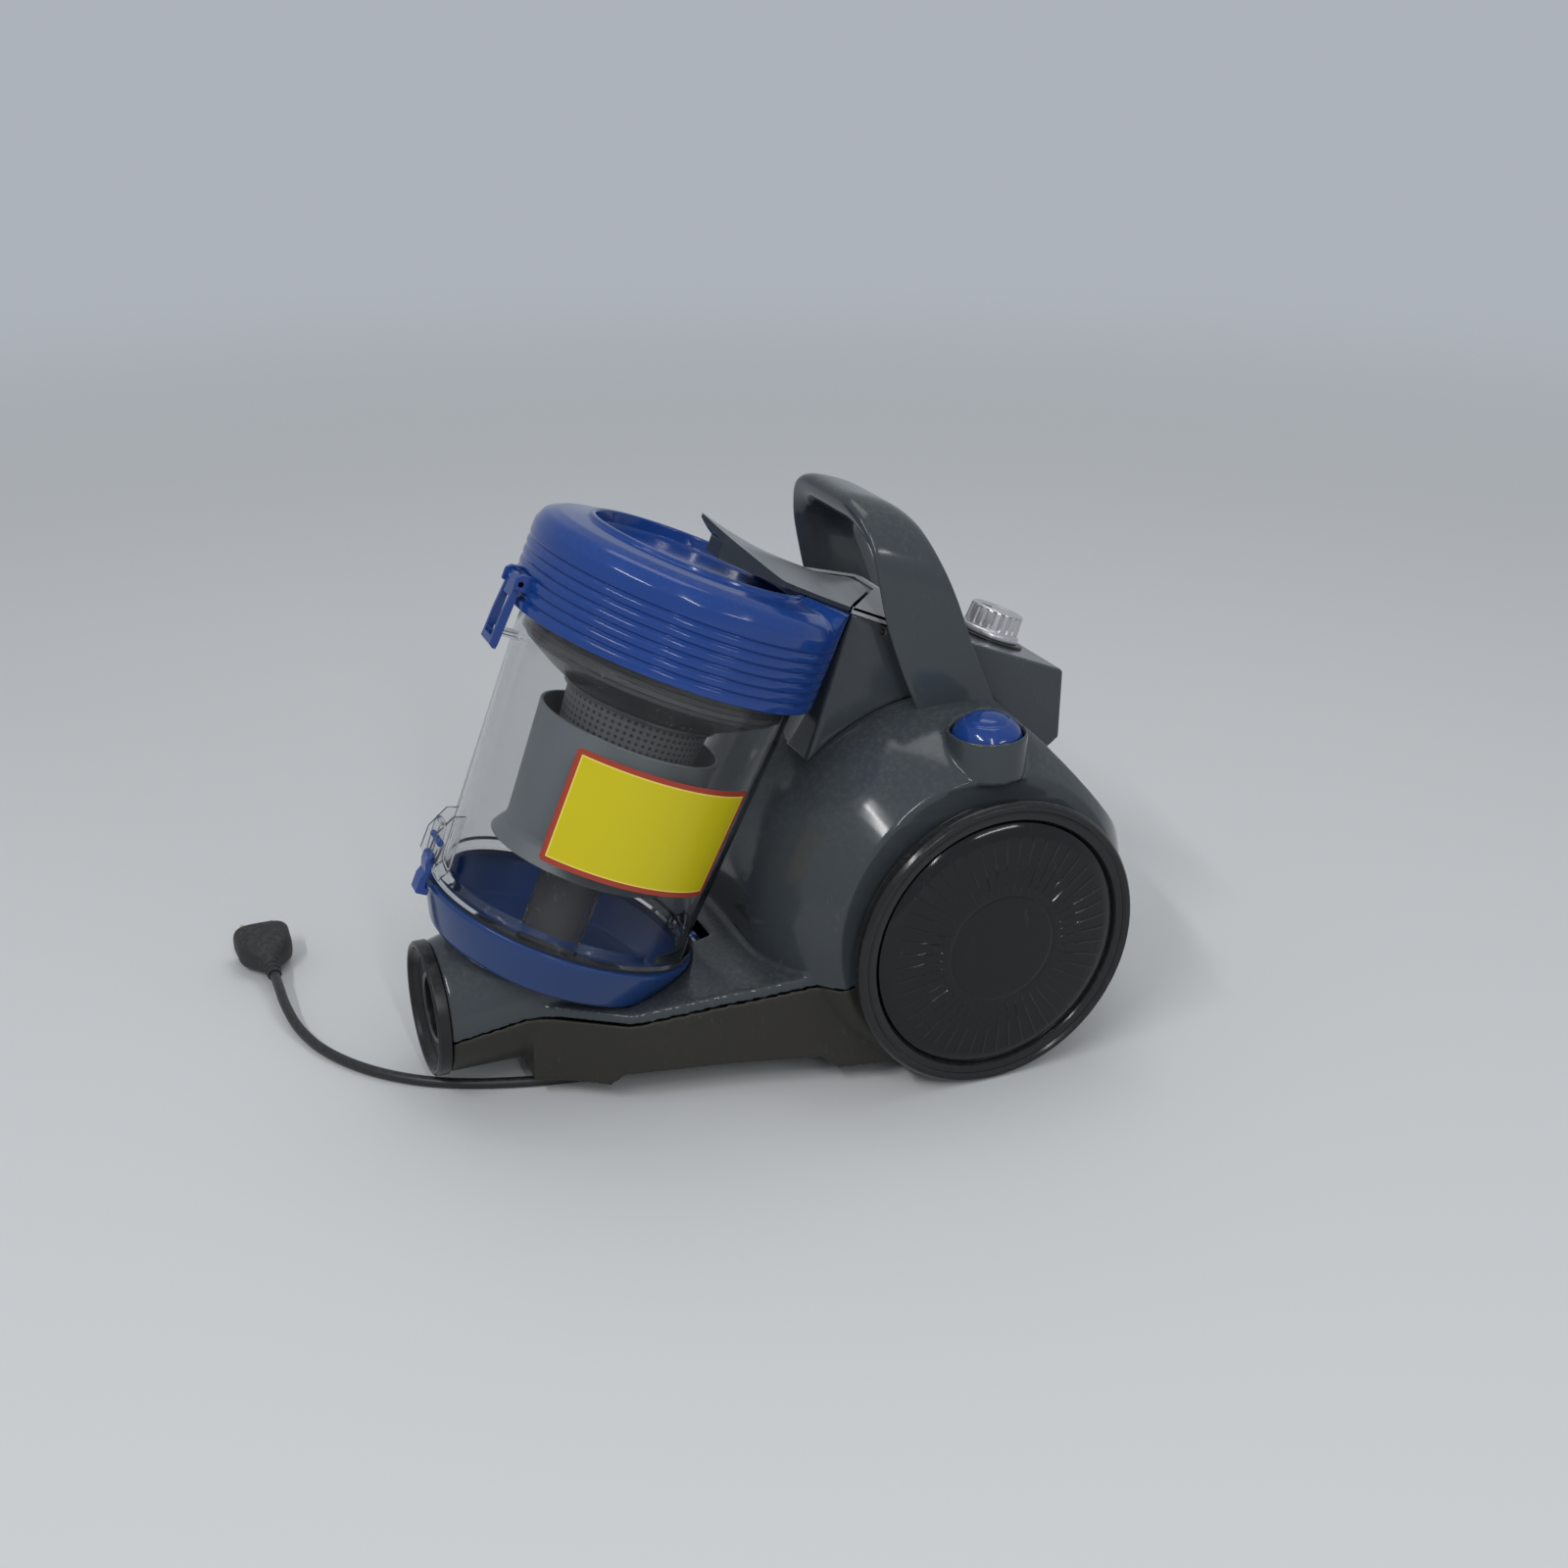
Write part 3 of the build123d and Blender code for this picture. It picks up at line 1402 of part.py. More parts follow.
# release lever: a leaf over the cup's lid, hinged between the handle's feet
lever_sections = [
    # back, half width, middle height, edge height
    (-5.0, 1.5, 247.0, 246.6),
    (10.0, 12.0, 243.0, 240.6),
    (40.0, 30.0, 236.0, lever_low + lever_t),
    (82.0, spine_half - fit, 231.5, lever_low + lever_t),
    (lever_back - fit, spine_half - fit, 230.0, lever_low + lever_t),
]
with BuildPart() as release_lever:
    for back, half, middle, edge in lever_sections:
        section = Plane(
            origin=cup_point(0, back, 0), x_dir=(1, 0, 0), z_dir=-cup_plane.y_dir
        )
        with BuildSketch(section):
            with BuildLine():
                Polyline(
                    (-half, edge),
                    (0, middle),
                    (half, edge),
                    (half, edge - lever_t),
                    (0, middle - lever_t),
                    (-half, edge - lever_t),
                    close=True,
                )
            make_face()
    loft(ruled=True)
    lever_at = cross_plane(0, lever_axis.Y, lever_axis.Z)
    for sign in (1, -1):
        low_x, high_x = sorted((sign * knuckle_in, sign * (knuckle_in + 6)))
        add(disc(lever_at, lever_pin_r + 2, low_x, high_x))
        add(
            cup_brick(
                low_x,
                high_x,
                lever_axis_back - 2,
                lever_axis_back + 2,
                lever_axis_up,
                lever_low + 1,
            )
        )
    add(disc(lever_at, lever_pin_r + running, -spine_half, spine_half), mode=Mode.SUBTRACT)
save(release_lever.part, "release_lever")
print("lever", len(release_lever.part.solids()), release_lever.part.volume)
lever_pin = disc(lever_at, lever_pin_r, -spine_half + fit, spine_half - fit)
save(lever_pin, "lever_pin")
lever_spring = ring(lever_at, lever_pin_r + 1.6, lever_pin_r + fit, -knuckle_in + 4, knuckle_in - 4)
save(lever_spring, "lever_spring")

# ---------------------------------------------------------------- dust cup
def cup_cross(back, up, radius, x0, x1):
    """A disc about an X axis that lies at (back, up) in the cup's directions."""
    at = cup_point(0, back, up)
    return disc(cross_plane(0, at.Y, at.Z), radius, x0, x1)


with BuildPart() as cup_wall:
    add(
        turned(
            [
                (cup_rim_r, 0),
                (cup_rim_r, cup_rim_h),
                (cup_low_r, cup_shoulder_h),
                (cup_top_r, cup_funnel_h),
                (cup_top_r, cup_h + cup_neck),
                (cup_in_top, cup_h + cup_neck),
                (cup_in_top, cup_funnel_h),
                (cup_in_low, cup_shoulder_h),
                (cup_in_low, 0),
            ]
        )
    )
    # lug of the lid's latch
    add(cup_brick(-lug_half, lug_half, -lug_reach, -cup_in_top - 1, lug_low, lug_low + lug_t))
    # bracket of the bottom latch
    for sign in (1, -1):
        low_x, high_x = sorted((sign * (door_latch_half + fit), sign * (door_latch_half + fit + 2.5)))
        add(cup_brick(low_x, high_x, -door_latch_back - 5, -cup_in_low - 1, 8, 40))
        low_x, high_x = sorted((sign * (knuckle_half + fit), sign * hinge_half))
        add(cup_cross(hinge_back, hinge_up, 3.5, low_x, high_x))
        add(cup_brick(low_x, high_x, cup_rim_r - 1.5, hinge_back + 1, 0.3, 4.5))
    add(cup_cross(-door_latch_back, door_latch_up, 2 + running, -20, 20), mode=Mode.SUBTRACT)
    add(cup_cross(hinge_back, hinge_up, hinge_pin_r + running, -20, 20), mode=Mode.SUBTRACT)
    # fin that keeps the dust from turning
    fin_at = Plane(
        origin=cup_plane.origin,
        x_dir=cup_plane.x_dir * math.cos(fin_angle) + cup_plane.y_dir * math.sin(fin_angle),
        z_dir=cup_plane.z_dir,
    )
    with BuildSketch(fin_at.offset(2)):
        with Locations((cup_in_low - fin_w / 2 + 1, 0)):
            Rectangle(fin_w, 1.6)
    extrude(amount=fin_h)
save(cup_wall.part, "cup_wall")
print("cup wall", len(cup_wall.part.solids()))

with BuildPart() as cup_lid:
    add(
        turned(
            [
                (lid_r, cup_h),
                (lid_r, cup_h + lid_side_h),
                (lid_r - 3, lid_top_h - 11),
                (lid_r - 10, lid_top_h - 6),
                (lip_r + 1, lid_top_h - 3),
                (lip_r, lid_top_h),
                (lip_r - lip_t, lid_top_h),
                (lip_r - lip_t - 1, lid_top_h - recess_depth),
                (0, lid_top_h - recess_depth),
                (0, lid_top_h - recess_depth - lid_t),
                (lip_r - 4, lid_top_h - recess_depth - lid_t),
                (lip_r + 1, lid_top_h - 6),
                (lid_r - 11, lid_top_h - 9),
                (lid_r - 3 - lid_t, cup_h + lid_side_h),
                (lid_r - lid_t, cup_h + lid_side_h - 3),
                (lid_r - lid_t, seal_top_h + 2.5),
                (cup_in_top - 1.5, seal_top_h + 2.5),
                (cup_in_top - 1.5, seal_top_h),
                (cup_top_r + fit, seal_top_h),
                (cup_top_r + fit, cup_h),
            ]
        )
    )
    for i in range(rib_count):
        low = cup_h + rib_start + i * rib_pitch
        groove = turned(
            [
                (lid_r - rib_depth, low),
                (lid_r + 1, low - 0.8),
                (lid_r + 1, low + rib_h + 0.8),
                (lid_r - rib_depth, low + rib_h),
            ]
        )
        add(groove, mode=Mode.SUBTRACT)
    # air port at the back
    add(disc(port_plane, port_r, lid_r - 30, lid_r + 10), mode=Mode.SUBTRACT)
    # ears of the lid's latch
    for sign in (1, -1):
        low_x, high_x = sorted((sign * (lid_latch_half + fit), sign * (lid_latch_half + fit + lid_ear_t)))
        add(
            cup_brick(
                low_x,
                high_x,
                -lid_latch_back - 3.5,
                -lid_r + 4,
                lid_latch_up - lid_ear_half,
                lid_latch_up + lid_ear_half,
            )
        )
    add(cup_cross(-lid_latch_back, lid_latch_up, 2 + running, -30, 30), mode=Mode.SUBTRACT)
save(cup_lid.part, "cup_lid")
print("lid", len(cup_lid.part.solids()))

lid_seal = turned(
    [
        (cup_top_r, cup_h + cup_neck),
        (cup_top_r, seal_top_h),
        (cup_in_top, seal_top_h),
        (cup_in_top, cup_h + cup_neck),
    ]
)
save(lid_seal, "lid_seal")

with BuildPart() as lid_latch:
    add(
        cup_brick(
            -lid_latch_half,
            lid_latch_half,
            -lid_latch_back - 2,
            -lid_latch_back + 2,
            lug_low - 8,
            lid_latch_up + 4,
        )
    )
    add(
        cup_brick(
            -lug_half - 0.6,
            lug_half + 0.6,
            -lid_latch_back - 5,
            -lid_latch_back + 5,
            lug_low - 1,
            lid_latch_up - 8,
        ),
        mode=Mode.SUBTRACT,
    )
    add(
        cup_cross(
            -lid_latch_back,
            lid_latch_up,
            2,
            -lid_latch_half - fit - lid_ear_t,
            lid_latch_half + fit + lid_ear_t,
        )
    )
save(lid_latch.part, "lid_latch")

# cyclone insert: funnel flange, mesh, bell and inlet tube, and the foam above it
insert_flange = turned(
    [
        (cup_in_top - fit, cup_h),
        (cup_in_top - fit, cup_h - 8),
        (mesh_high_r + 2 + fit, mesh_high_h),
        (mesh_high_r + 2 + fit, mesh_high_h - 2),
        (mesh_high_r + fit, mesh_high_h - 2),
        (mesh_high_r + fit, mesh_high_h + 2),
        (cup_in_top - 3, cup_h - 5),
        (cup_in_top - 3, cup_h),
    ]
)
save(insert_flange, "insert_flange")

tube_r = hose_r + inlet_tube_t
with BuildPart() as mesh_filter:
    add(
        turned(
            [
                (mesh_high_r, mesh_high_h + 1.5),
                (mesh_low_r, mesh_low_h),
                (0, mesh_low_h),
                (0, mesh_low_h + mesh_t),
                (mesh_low_r - mesh_t, mesh_low_h + mesh_t),
                (mesh_high_r - mesh_t, mesh_high_h + 1.5),
            ]
        )
    )
save(mesh_filter.part, "mesh_filter")

with BuildPart() as cyclone_bell:
    add(
        turned(
            [
                (bell_low_r + bell_flare, bell_low_h - 4),
                (bell_low_r, bell_low_h + 6),
                (bell_high_r, bell_high_h),
                (bell_high_r - bell_t, bell_high_h),
                (bell_low_r - bell_t, bell_low_h + 6),
                (bell_low_r - bell_t, bell_low_h + 2),
                (tube_r + fit, bell_low_h + 2),
                (tube_r + fit, bell_low_h),
                (bell_low_r - bell_t, bell_low_h),
                (bell_low_r + bell_flare - bell_t, bell_low_h - 4),
            ]
        )
    )
    # spokes that carry the mesh on the bell's floor
    spoke_in = tube_r + spoke_gap
    spoke_out = bell_low_r - bell_t - spoke_gap
    with BuildSketch(cup_plane.offset(bell_low_h + bell_t / 2)):
        with PolarLocations((spoke_in + spoke_out) / 2, spoke_count):
            Rectangle(spoke_out - spoke_in, bell_t)
    extrude(amount=mesh_low_h - bell_low_h - bell_t / 2)
save(cyclone_bell.part, "cyclone_bell")

inlet_tube = ring(cup_plane, tube_r, hose_r, -door_h + door_t, bell_low_h + 12)
save(inlet_tube, "inlet_tube")

foam_filter = disc(cup_plane, foam_r, cup_h, cup_h + foam_t)
save(foam_filter, "foam_filter")

with BuildPart() as bottom_door:
    add(
        turned(
            [
                (hose_r, -door_h),
                (door_low_r, -door_h),
                (door_r, -door_rim_h),
                (door_r, -seal_t),
                (cup_in_low + 1, -seal_t),
                (cup_in_low + 1, -seal_t - 2.5),
                (door_r - door_t - 1.5, -door_rim_h),
                (door_low_r - door_t, -door_h + door_t),
                (hose_r, -door_h + door_t),
            ]
        )
    )
    # tab under the latch, and the hinge knuckle
    add(
        cup_brick(
            -door_latch_half + 0.5,
            door_latch_half - 0.5,
            -door_latch_back + 2,
            -door_r + 2,
            -seal_t - 2.4,
            -seal_t,
        )
    )
    add(cup_cross(hinge_back, hinge_up, 3.5, -knuckle_half, knuckle_half))
    add(
        cup_brick(
            -knuckle_half,
            knuckle_half,
            door_r - 2,
            hinge_back,
            -door_rim_h,
            -seal_t,
        )
    )
    add(cup_cross(hinge_back, hinge_up, hinge_pin_r + running, -20, 20), mode=Mode.SUBTRACT)
save(bottom_door.part, "bottom_door")
print("door", len(bottom_door.part.solids()))

door_seal = ring(cup_plane, cup_rim_r - 1.5, cup_in_low + 1, -seal_t, 0)
save(door_seal, "door_seal")
door_hinge_pin = cup_cross(hinge_back, hinge_up, hinge_pin_r, -hinge_half - 1, hinge_half + 1)
save(door_hinge_pin, "door_hinge_pin")

with BuildPart() as door_latch:
    add(
        cup_brick(
            -door_latch_half,
            door_latch_half,
            -door_latch_back - 3,
            -door_latch_back + 2,
            toe_low,
            door_latch_up + 12,
        )
    )
    add(
        cup_brick(
            -door_latch_half,
            door_latch_half,
            -door_latch_back - 3,
            -door_latch_back + 4.5,
            toe_low,
            -seal_t - 2.4 - fit,
        )
    )
    add(
        cup_cross(
            -door_latch_back,
            door_latch_up,
            2,
            -door_latch_half - fit - 2.5,
            door_latch_half + fit + 2.5,
        )
    )
    # room for the door's tab
    add(
        cup_brick(
            -door_latch_half + 0.2,
            door_latch_half - 0.2,
            -door_latch_back + 1.5,
            -door_latch_back + 10,
            -seal_t - 2.4 - fit,
            -seal_t + 1,
        ),
        mode=Mode.SUBTRACT,
    )
save(door_latch.part, "door_latch")

# plain label on the side of the cup
label_start = cup_plane.x_dir * math.cos(label_half) - cup_plane.y_dir * math.sin(label_half)
label_plane = Plane(
    origin=cup_plane.origin,
    x_dir=label_start,
    z_dir=label_start.cross(cup_plane.z_dir),
)


def cup_outer_r(up):
    """Outer radius of the clear wall at a height over the bottom rim."""
    share = (up - cup_shoulder_h) / (cup_funnel_h - cup_shoulder_h)
    return cup_low_r + (cup_top_r - cup_low_r) * share


with BuildPart() as cup_label:
    with BuildSketch(label_plane):
        with BuildLine():
            Polyline(
                (cup_outer_r(label_low) + label_gap, label_low),
                (cup_outer_r(label_high) + label_gap, label_high),
                (cup_outer_r(label_high) + label_gap + label_t, label_high),
                (cup_outer_r(label_low) + label_gap + label_t, label_low),
                close=True,
            )
        make_face()
    revolve(
        axis=Axis(cup_plane.origin, cup_plane.z_dir),
        revolution_arc=2 * math.degrees(label_half),
    )
save(cup_label.part, "cup_label")
print("label", cup_label.part.volume, len(cup_label.part.solids()))

# ---------------------------------------------------------------- mains cord
cord_exit = Plane(origin=(cord_out_x, bush_y, cord_out_z), x_dir=(1, 0, 0), z_dir=(0, 1, 0))
with BuildPart() as cord_bush:
    add(ring(cord_exit, bush_r, cord_r, -24, 0.3))
    add(ring(cord_exit, bush_r + 2, cord_r, 0.3, 2.8))
    with BuildSketch(cord_exit.offset(2.8)):
        Circle(bush_r - 0.5)
    with BuildSketch(cord_exit.offset(relief_l)):
        Circle(cord_r + 1.2)
    loft()
    add(disc(cord_exit, cord_r, 2, relief_l + 1), mode=Mode.SUBTRACT)
save(cord_bush.part, "cord_bush")

lay = cord_r + 0.2  # height of the cord's middle where it lies
cord_start = (cord_out_x, bush_y + relief_l, cord_out_z)
cord_route = [
    cord_start,
    (cord_out_x, 236.0, cord_out_z),
    (-77.0, 259.0, 18.0),
    (-56.0, 281.0, 6.5),
    (-23.0, 281.0, lay),
    (0.0, 258.0, lay),
    (3.0, 224.0, lay),
    (11.0, 163.0, lay),
    (28.0, 100.0, lay),
    (28.0, 45.0, lay),
    (36.0, -10.0, lay),
    (35.0, -65.0, lay),
    (40.0, -115.0, lay),
    (31.0, -165.0, lay),
    (13.0, -213.0, lay),
    (-14.0, -247.0, lay),
    (-48.0, -270.0, lay),
    (-80.0, -281.0, 4.5),
    (-106.0, -285.0, plug_z - 2.5),
    (-126.0, -285.0, plug_z),
    (-142.0, -285.0, plug_z),
]


def cord_radii(route):
    """Arc radius at each inner corner: 0.45 of the shorter run over tan(half turn)."""
    radii = []
    for a, b, c in zip(route, route[1:], route[2:]):
        before = Vector(*b) - Vector(*a)
        after = Vector(*c) - Vector(*b)
        turn = math.radians(before.get_angle(after))
        radii.append(0.45 * min(before.length, after.length) / math.tan(turn / 2))
    return radii


radii = cord_radii(cord_route)
print("cord radii", [round(r) for r in radii])
with BuildPart() as mains_cord:
    with BuildLine() as cord_line:
        FilletPolyline(*cord_route, radius=radii)
    with BuildSketch(Plane(origin=cord_route[0], z_dir=cord_line.line % 0)):
        Circle(cord_r)
    sweep(path=cord_line.line)
cord_length = sum(edge.length for edge in cord_line.edges())
volume_share = mains_cord.part.volume / (math.pi * cord_r**2 * cord_length)
print("cord length", round(cord_length), "volume share", round(volume_share, 4))
save(mains_cord.part, "mains_cord")

# plug with its strain relief and two round pins
plug_at = Plane(origin=cord_route[-1], x_dir=(0, 1, 0), z_dir=(-1, 0, 0))
with BuildPart() as mains_plug:
    with BuildSketch(plug_at):
        Circle(cord_r + 1.2)
    with BuildSketch(plug_at.offset(plug_relief)):
        Circle(6.5)
    loft()
    with BuildSketch(plug_at.offset(plug_relief)):
        RectangleRounded(19, 15, 6)
    with BuildSketch(plug_at.offset(plug_relief + 16)):
        RectangleRounded(35, 22, 9)
    with BuildSketch(plug_at.offset(plug_relief + plug_l)):
        RectangleRounded(37, 2 * plug_z - 1, 10)
    loft()
save(mains_plug.part, "mains_plug")
with BuildPart() as plug_pins:
    with BuildSketch(plug_at.offset(plug_relief + plug_l)):
        with Locations((-9.5, 0), (9.5, 0)):
            Circle(2.4)
    extrude(amount=19)
    tips = plug_pins.faces().sort_by(Axis.X)[0:2]
    chamfer(tips.edges(), length=1)
save(plug_pins.part, "plug_pins")
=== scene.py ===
import logging
import math
from dataclasses import dataclass, field
from enum import Enum
from typing import Callable, Sequence

import bmesh
import bpy
from mathutils import Matrix, Vector


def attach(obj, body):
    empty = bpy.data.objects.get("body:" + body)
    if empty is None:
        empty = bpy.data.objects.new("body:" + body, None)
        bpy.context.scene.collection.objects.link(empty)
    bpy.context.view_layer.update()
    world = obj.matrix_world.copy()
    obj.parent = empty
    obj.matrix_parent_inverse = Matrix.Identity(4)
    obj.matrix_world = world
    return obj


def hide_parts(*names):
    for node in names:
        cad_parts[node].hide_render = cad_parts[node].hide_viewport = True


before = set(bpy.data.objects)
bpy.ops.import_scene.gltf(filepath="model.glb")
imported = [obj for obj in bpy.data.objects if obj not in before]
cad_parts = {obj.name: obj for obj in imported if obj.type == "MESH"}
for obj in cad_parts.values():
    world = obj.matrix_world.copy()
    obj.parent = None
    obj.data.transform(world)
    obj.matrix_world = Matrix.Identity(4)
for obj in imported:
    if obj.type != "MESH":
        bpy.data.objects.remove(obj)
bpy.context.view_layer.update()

log = logging.getLogger("canister_vacuum")

MM = 0.001
Point = tuple[float, float]


# ------------------------------------------------------------------ places
@dataclass(frozen=True)
class Place:
    """A local set of directions: an origin, two cross directions and an axis."""

    origin: Vector
    first: Vector
    second: Vector
    axis: Vector

    def at(self, first: float, second: float, along: float) -> Vector:
        """The row-frame point at three local distances in metres."""
        return self.origin + self.first * first + self.second * second + self.axis * along

    def round(self, radius: float, angle: float, along: float) -> Vector:
        """The row-frame point at a radius and angle about the axis, and a height along it."""
        return self.at(radius * math.cos(angle), radius * math.sin(angle), along)


CUP_TILT = math.radians(23.5)
CUP = Place(
    Vector((0.0, -0.1317, 0.0999)),
    Vector((1.0, 0.0, 0.0)),
    Vector((0.0, math.cos(CUP_TILT), -math.sin(CUP_TILT))),
    Vector((0.0, math.sin(CUP_TILT), math.cos(CUP_TILT))),
)
SPINE_SLOPE = math.atan2(277.5 - 220.2, 177.4 - 34.7)
KNOB_PLACE = 0.1225
SPINE_TOP = Place(
    Vector(
        (
            0.0,
            0.0347 + KNOB_PLACE * math.cos(SPINE_SLOPE),
            0.2775 - KNOB_PLACE * math.sin(SPINE_SLOPE),
        )
    ),
    Vector((1.0, 0.0, 0.0)),
    Vector((0.0, math.cos(SPINE_SLOPE), -math.sin(SPINE_SLOPE))),
    Vector((0.0, math.sin(SPINE_SLOPE), math.cos(SPINE_SLOPE))),
)


def wheel_place(sign: int) -> Place:
    """Directions of a wheel: the axis runs outward along X.

    Args:
        sign: 1 for the left wheel, -1 for the right one.

    Returns:
        The wheel's place, with its origin on the middle plane.
    """
    return Place(
        Vector((0.0, 0.093, 0.090)),
        Vector((0.0, float(sign), 0.0)),
        Vector((0.0, 0.0, 1.0)),
        Vector((float(sign), 0.0, 0.0)),
    )


# ------------------------------------------------------------------ shared shader effects
class Effect(Enum):
    """Names of the shader node groups that several finishes share."""

    GRAIN = "mould_grain"
    WEAR = "handling_wear"
    DUST = "settled_dust"


def add_node(
    tree: bpy.types.NodeTree,
    kind: str,
    values: dict[str | int, object] | None = None,
    **settings: str,
) -> bpy.types.Node:
    """Adds a shader node to a tree.

    Args:
        tree: the tree that gets it.
        kind: the node's type.
        values: input values by socket name or number.
        settings: the node's own settings, such as its operation.

    Returns:
        The node.
    """
    made = tree.nodes.new(kind)
    for key, value in settings.items():
        setattr(made, key, value)
    for key, value in (values or {}).items():
        made.inputs[key].default_value = value
    return made


def wire(tree: bpy.types.NodeTree, *paths: tuple) -> None:
    """Links outputs to inputs.

    Args:
        tree: the tree of the nodes.
        paths: for each link a source, its socket, a target and its socket.
    """
    for source, out, target, into in paths:
        tree.links.new(source.outputs[out], target.inputs[into])


def fresh_material(name: str) -> tuple[bpy.types.Material, bpy.types.NodeTree, bpy.types.Node]:
    """A new material, its node tree and its surface shader.

    Args:
        name: the material's name.

    Returns:
        The material, its node tree and its surface shader.
    """
    made = bpy.data.materials.new(name)
    made.use_nodes = True
    return made, made.node_tree, made.node_tree.nodes["Principled BSDF"]


def placed(name: str, data: bpy.types.ID) -> bpy.types.Object:
    """A new object in the scene that shows the given data.

    Args:
        name: the object's name.
        data: the mesh, curve, lamp or camera that it shows.

    Returns:
        The object.
    """
    made = bpy.data.objects.new(name, data)
    bpy.context.scene.collection.objects.link(made)
    return made


class Effects:
    """Builds each shared shader node group once and hands it out."""

    built: dict[Effect, bpy.types.NodeTree] = {}

    @classmethod
    def get(cls, effect: Effect) -> bpy.types.NodeTree:
        """The node group of an effect, built at its first use.

        Args:
            effect: the effect that is wanted.

        Returns:
            The node group.
        """
        if effect not in cls.built:
            makers: dict[Effect, Callable[[bpy.types.NodeTree], None]] = {
                Effect.GRAIN: cls._grain,
                Effect.WEAR: cls._wear,
                Effect.DUST: cls._dust,
            }
            tree = bpy.data.node_groups.new(effect.value, "ShaderNodeTree")
            makers[effect](tree)
            cls.built[effect] = tree
        return cls.built[effect]

    @staticmethod
    def _socket(tree: bpy.types.NodeTree, name: str, out: bool, value: float = 0.0) -> None:
        """Adds a plain number socket to a group's interface.

        Args:
            tree: the group's tree.
            name: the socket's name.
            out: true for an output, false for an input.
            value: an input's value where nothing is set.
        """
        side = "OUTPUT" if out else "INPUT"
        made = tree.interface.new_socket(name=name, in_out=side, socket_type="NodeSocketFloat")
        if not out:
            made.default_value = value

    @classmethod
    def _grain(cls, tree: bpy.types.NodeTree) -> None:
        """Fine surface texture of a moulding, with slow waves of its flow.

        Args:
            tree: the group's tree.
        """
        cls._socket(tree, "Scale", False, 900.0)
        cls._socket(tree, "Waves", False, 14.0)
        cls._socket(tree, "Height", True)
        cls._socket(tree, "Variation", True)
        inside = add_node(tree, "NodeGroupInput")
        outside = add_node(tree, "NodeGroupOutput")
        place = add_node(tree, "ShaderNodeTexCoord")
        fine = add_node(tree, "ShaderNodeTexNoise", {"Detail": 3.0, "Roughness": 0.6})
        slow = add_node(tree, "ShaderNodeTexNoise", {"Detail": 2.0})
        mix = add_node(tree, "ShaderNodeMath", {1: 0.35}, operation="MULTIPLY_ADD")
        wire(
            tree,
            (place, "Object", fine, "Vector"),
            (place, "Object", slow, "Vector"),
            (inside, "Scale", fine, "Scale"),
            (inside, "Waves", slow, "Scale"),
            (fine, "Fac", mix, 0),
            (slow, "Fac", mix, 2),
            (mix, 0, outside, "Height"),
            (slow, "Fac", outside, "Variation"),
        )

    @classmethod
    def _wear(cls, tree: bpy.types.NodeTree) -> None:
        """Thin crossing scuffs left by handling, as a mask.

        Args:
            tree: the group's tree.
        """
        cls._socket(tree, "Scale", False, 60.0)
        cls._socket(tree, "Amount", False, 0.5)
        cls._socket(tree, "Mask", True)
        inside = add_node(tree, "NodeGroupInput")
        outside = add_node(tree, "NodeGroupOutput")
        place = add_node(tree, "ShaderNodeTexCoord")
        lay = {"Scale": (1.0, 9.0, 2.5), "Rotation": (0.5, 0.8, 0.3)}
        stretch = add_node(tree, "ShaderNodeMapping", lay)
        streak = add_node(tree, "ShaderNodeTexNoise", {"Detail": 4.0})
        patch = add_node(tree, "ShaderNodeTexNoise", {"Scale": 22.0})
        ridge = add_node(tree, "ShaderNodeMapRange", {"From Min": 0.60, "From Max": 0.72})
        area = add_node(tree, "ShaderNodeMapRange", {"From Min": 0.45, "From Max": 0.70})
        both = add_node(tree, "ShaderNodeMath", operation="MULTIPLY")
        share = add_node(tree, "ShaderNodeMath", operation="MULTIPLY")
        wire(
            tree,
            (place, "Object", stretch, "Vector"),
            (stretch, "Vector", streak, "Vector"),
            (inside, "Scale", streak, "Scale"),
            (place, "Object", patch, "Vector"),
            (streak, "Fac", ridge, "Value"),
            (patch, "Fac", area, "Value"),
            (ridge, "Result", both, 0),
            (area, "Result", both, 1),
            (both, 0, share, 0),
            (inside, "Amount", share, 1),
            (share, 0, outside, "Mask"),
        )

    @classmethod
    def _dust(cls, tree: bpy.types.NodeTree) -> None:
        """Light dust that lies on faces turned upward, as a mask.

        Args:
            tree: the group's tree.
        """
        cls._socket(tree, "Amount", False, 0.1)
        cls._socket(tree, "Mask", True)
        inside = add_node(tree, "NodeGroupInput")
        outside = add_node(tree, "NodeGroupOutput")
        shape = add_node(tree, "ShaderNodeNewGeometry")
        split = add_node(tree, "ShaderNodeSeparateXYZ")
        place = add_node(tree, "ShaderNodeTexCoord")
        speck = add_node(tree, "ShaderNodeTexNoise", {"Scale": 320.0, "Detail": 5.0})
        upward = add_node(tree, "ShaderNodeMapRange", {"From Min": 0.2, "From Max": 1.0})
        some = add_node(tree, "ShaderNodeMapRange", {"From Min": 0.45, "From Max": 0.75})
        both = add_node(tree, "ShaderNodeMath", operation="MULTIPLY")
        share = add_node(tree, "ShaderNodeMath", operation="MULTIPLY")
        wire(
            tree,
            (shape, "Normal", split, "Vector"),
            (split, "Z", upward, "Value"),
            (place, "Object", speck, "Vector"),
            (speck, "Fac", some, "Value"),
            (upward, "Result", both, 0),
            (some, "Result", both, 1),
            (both, 0, share, 0),
            (inside, "Amount", share, 1),
            (share, 0, outside, "Mask"),
        )


# ------------------------------------------------------------------ finishes
SCUFF_LIFT = 0.05  # how much lighter a scuff is
DUST_COLOUR = (0.35, 0.34, 0.32, 1.0)


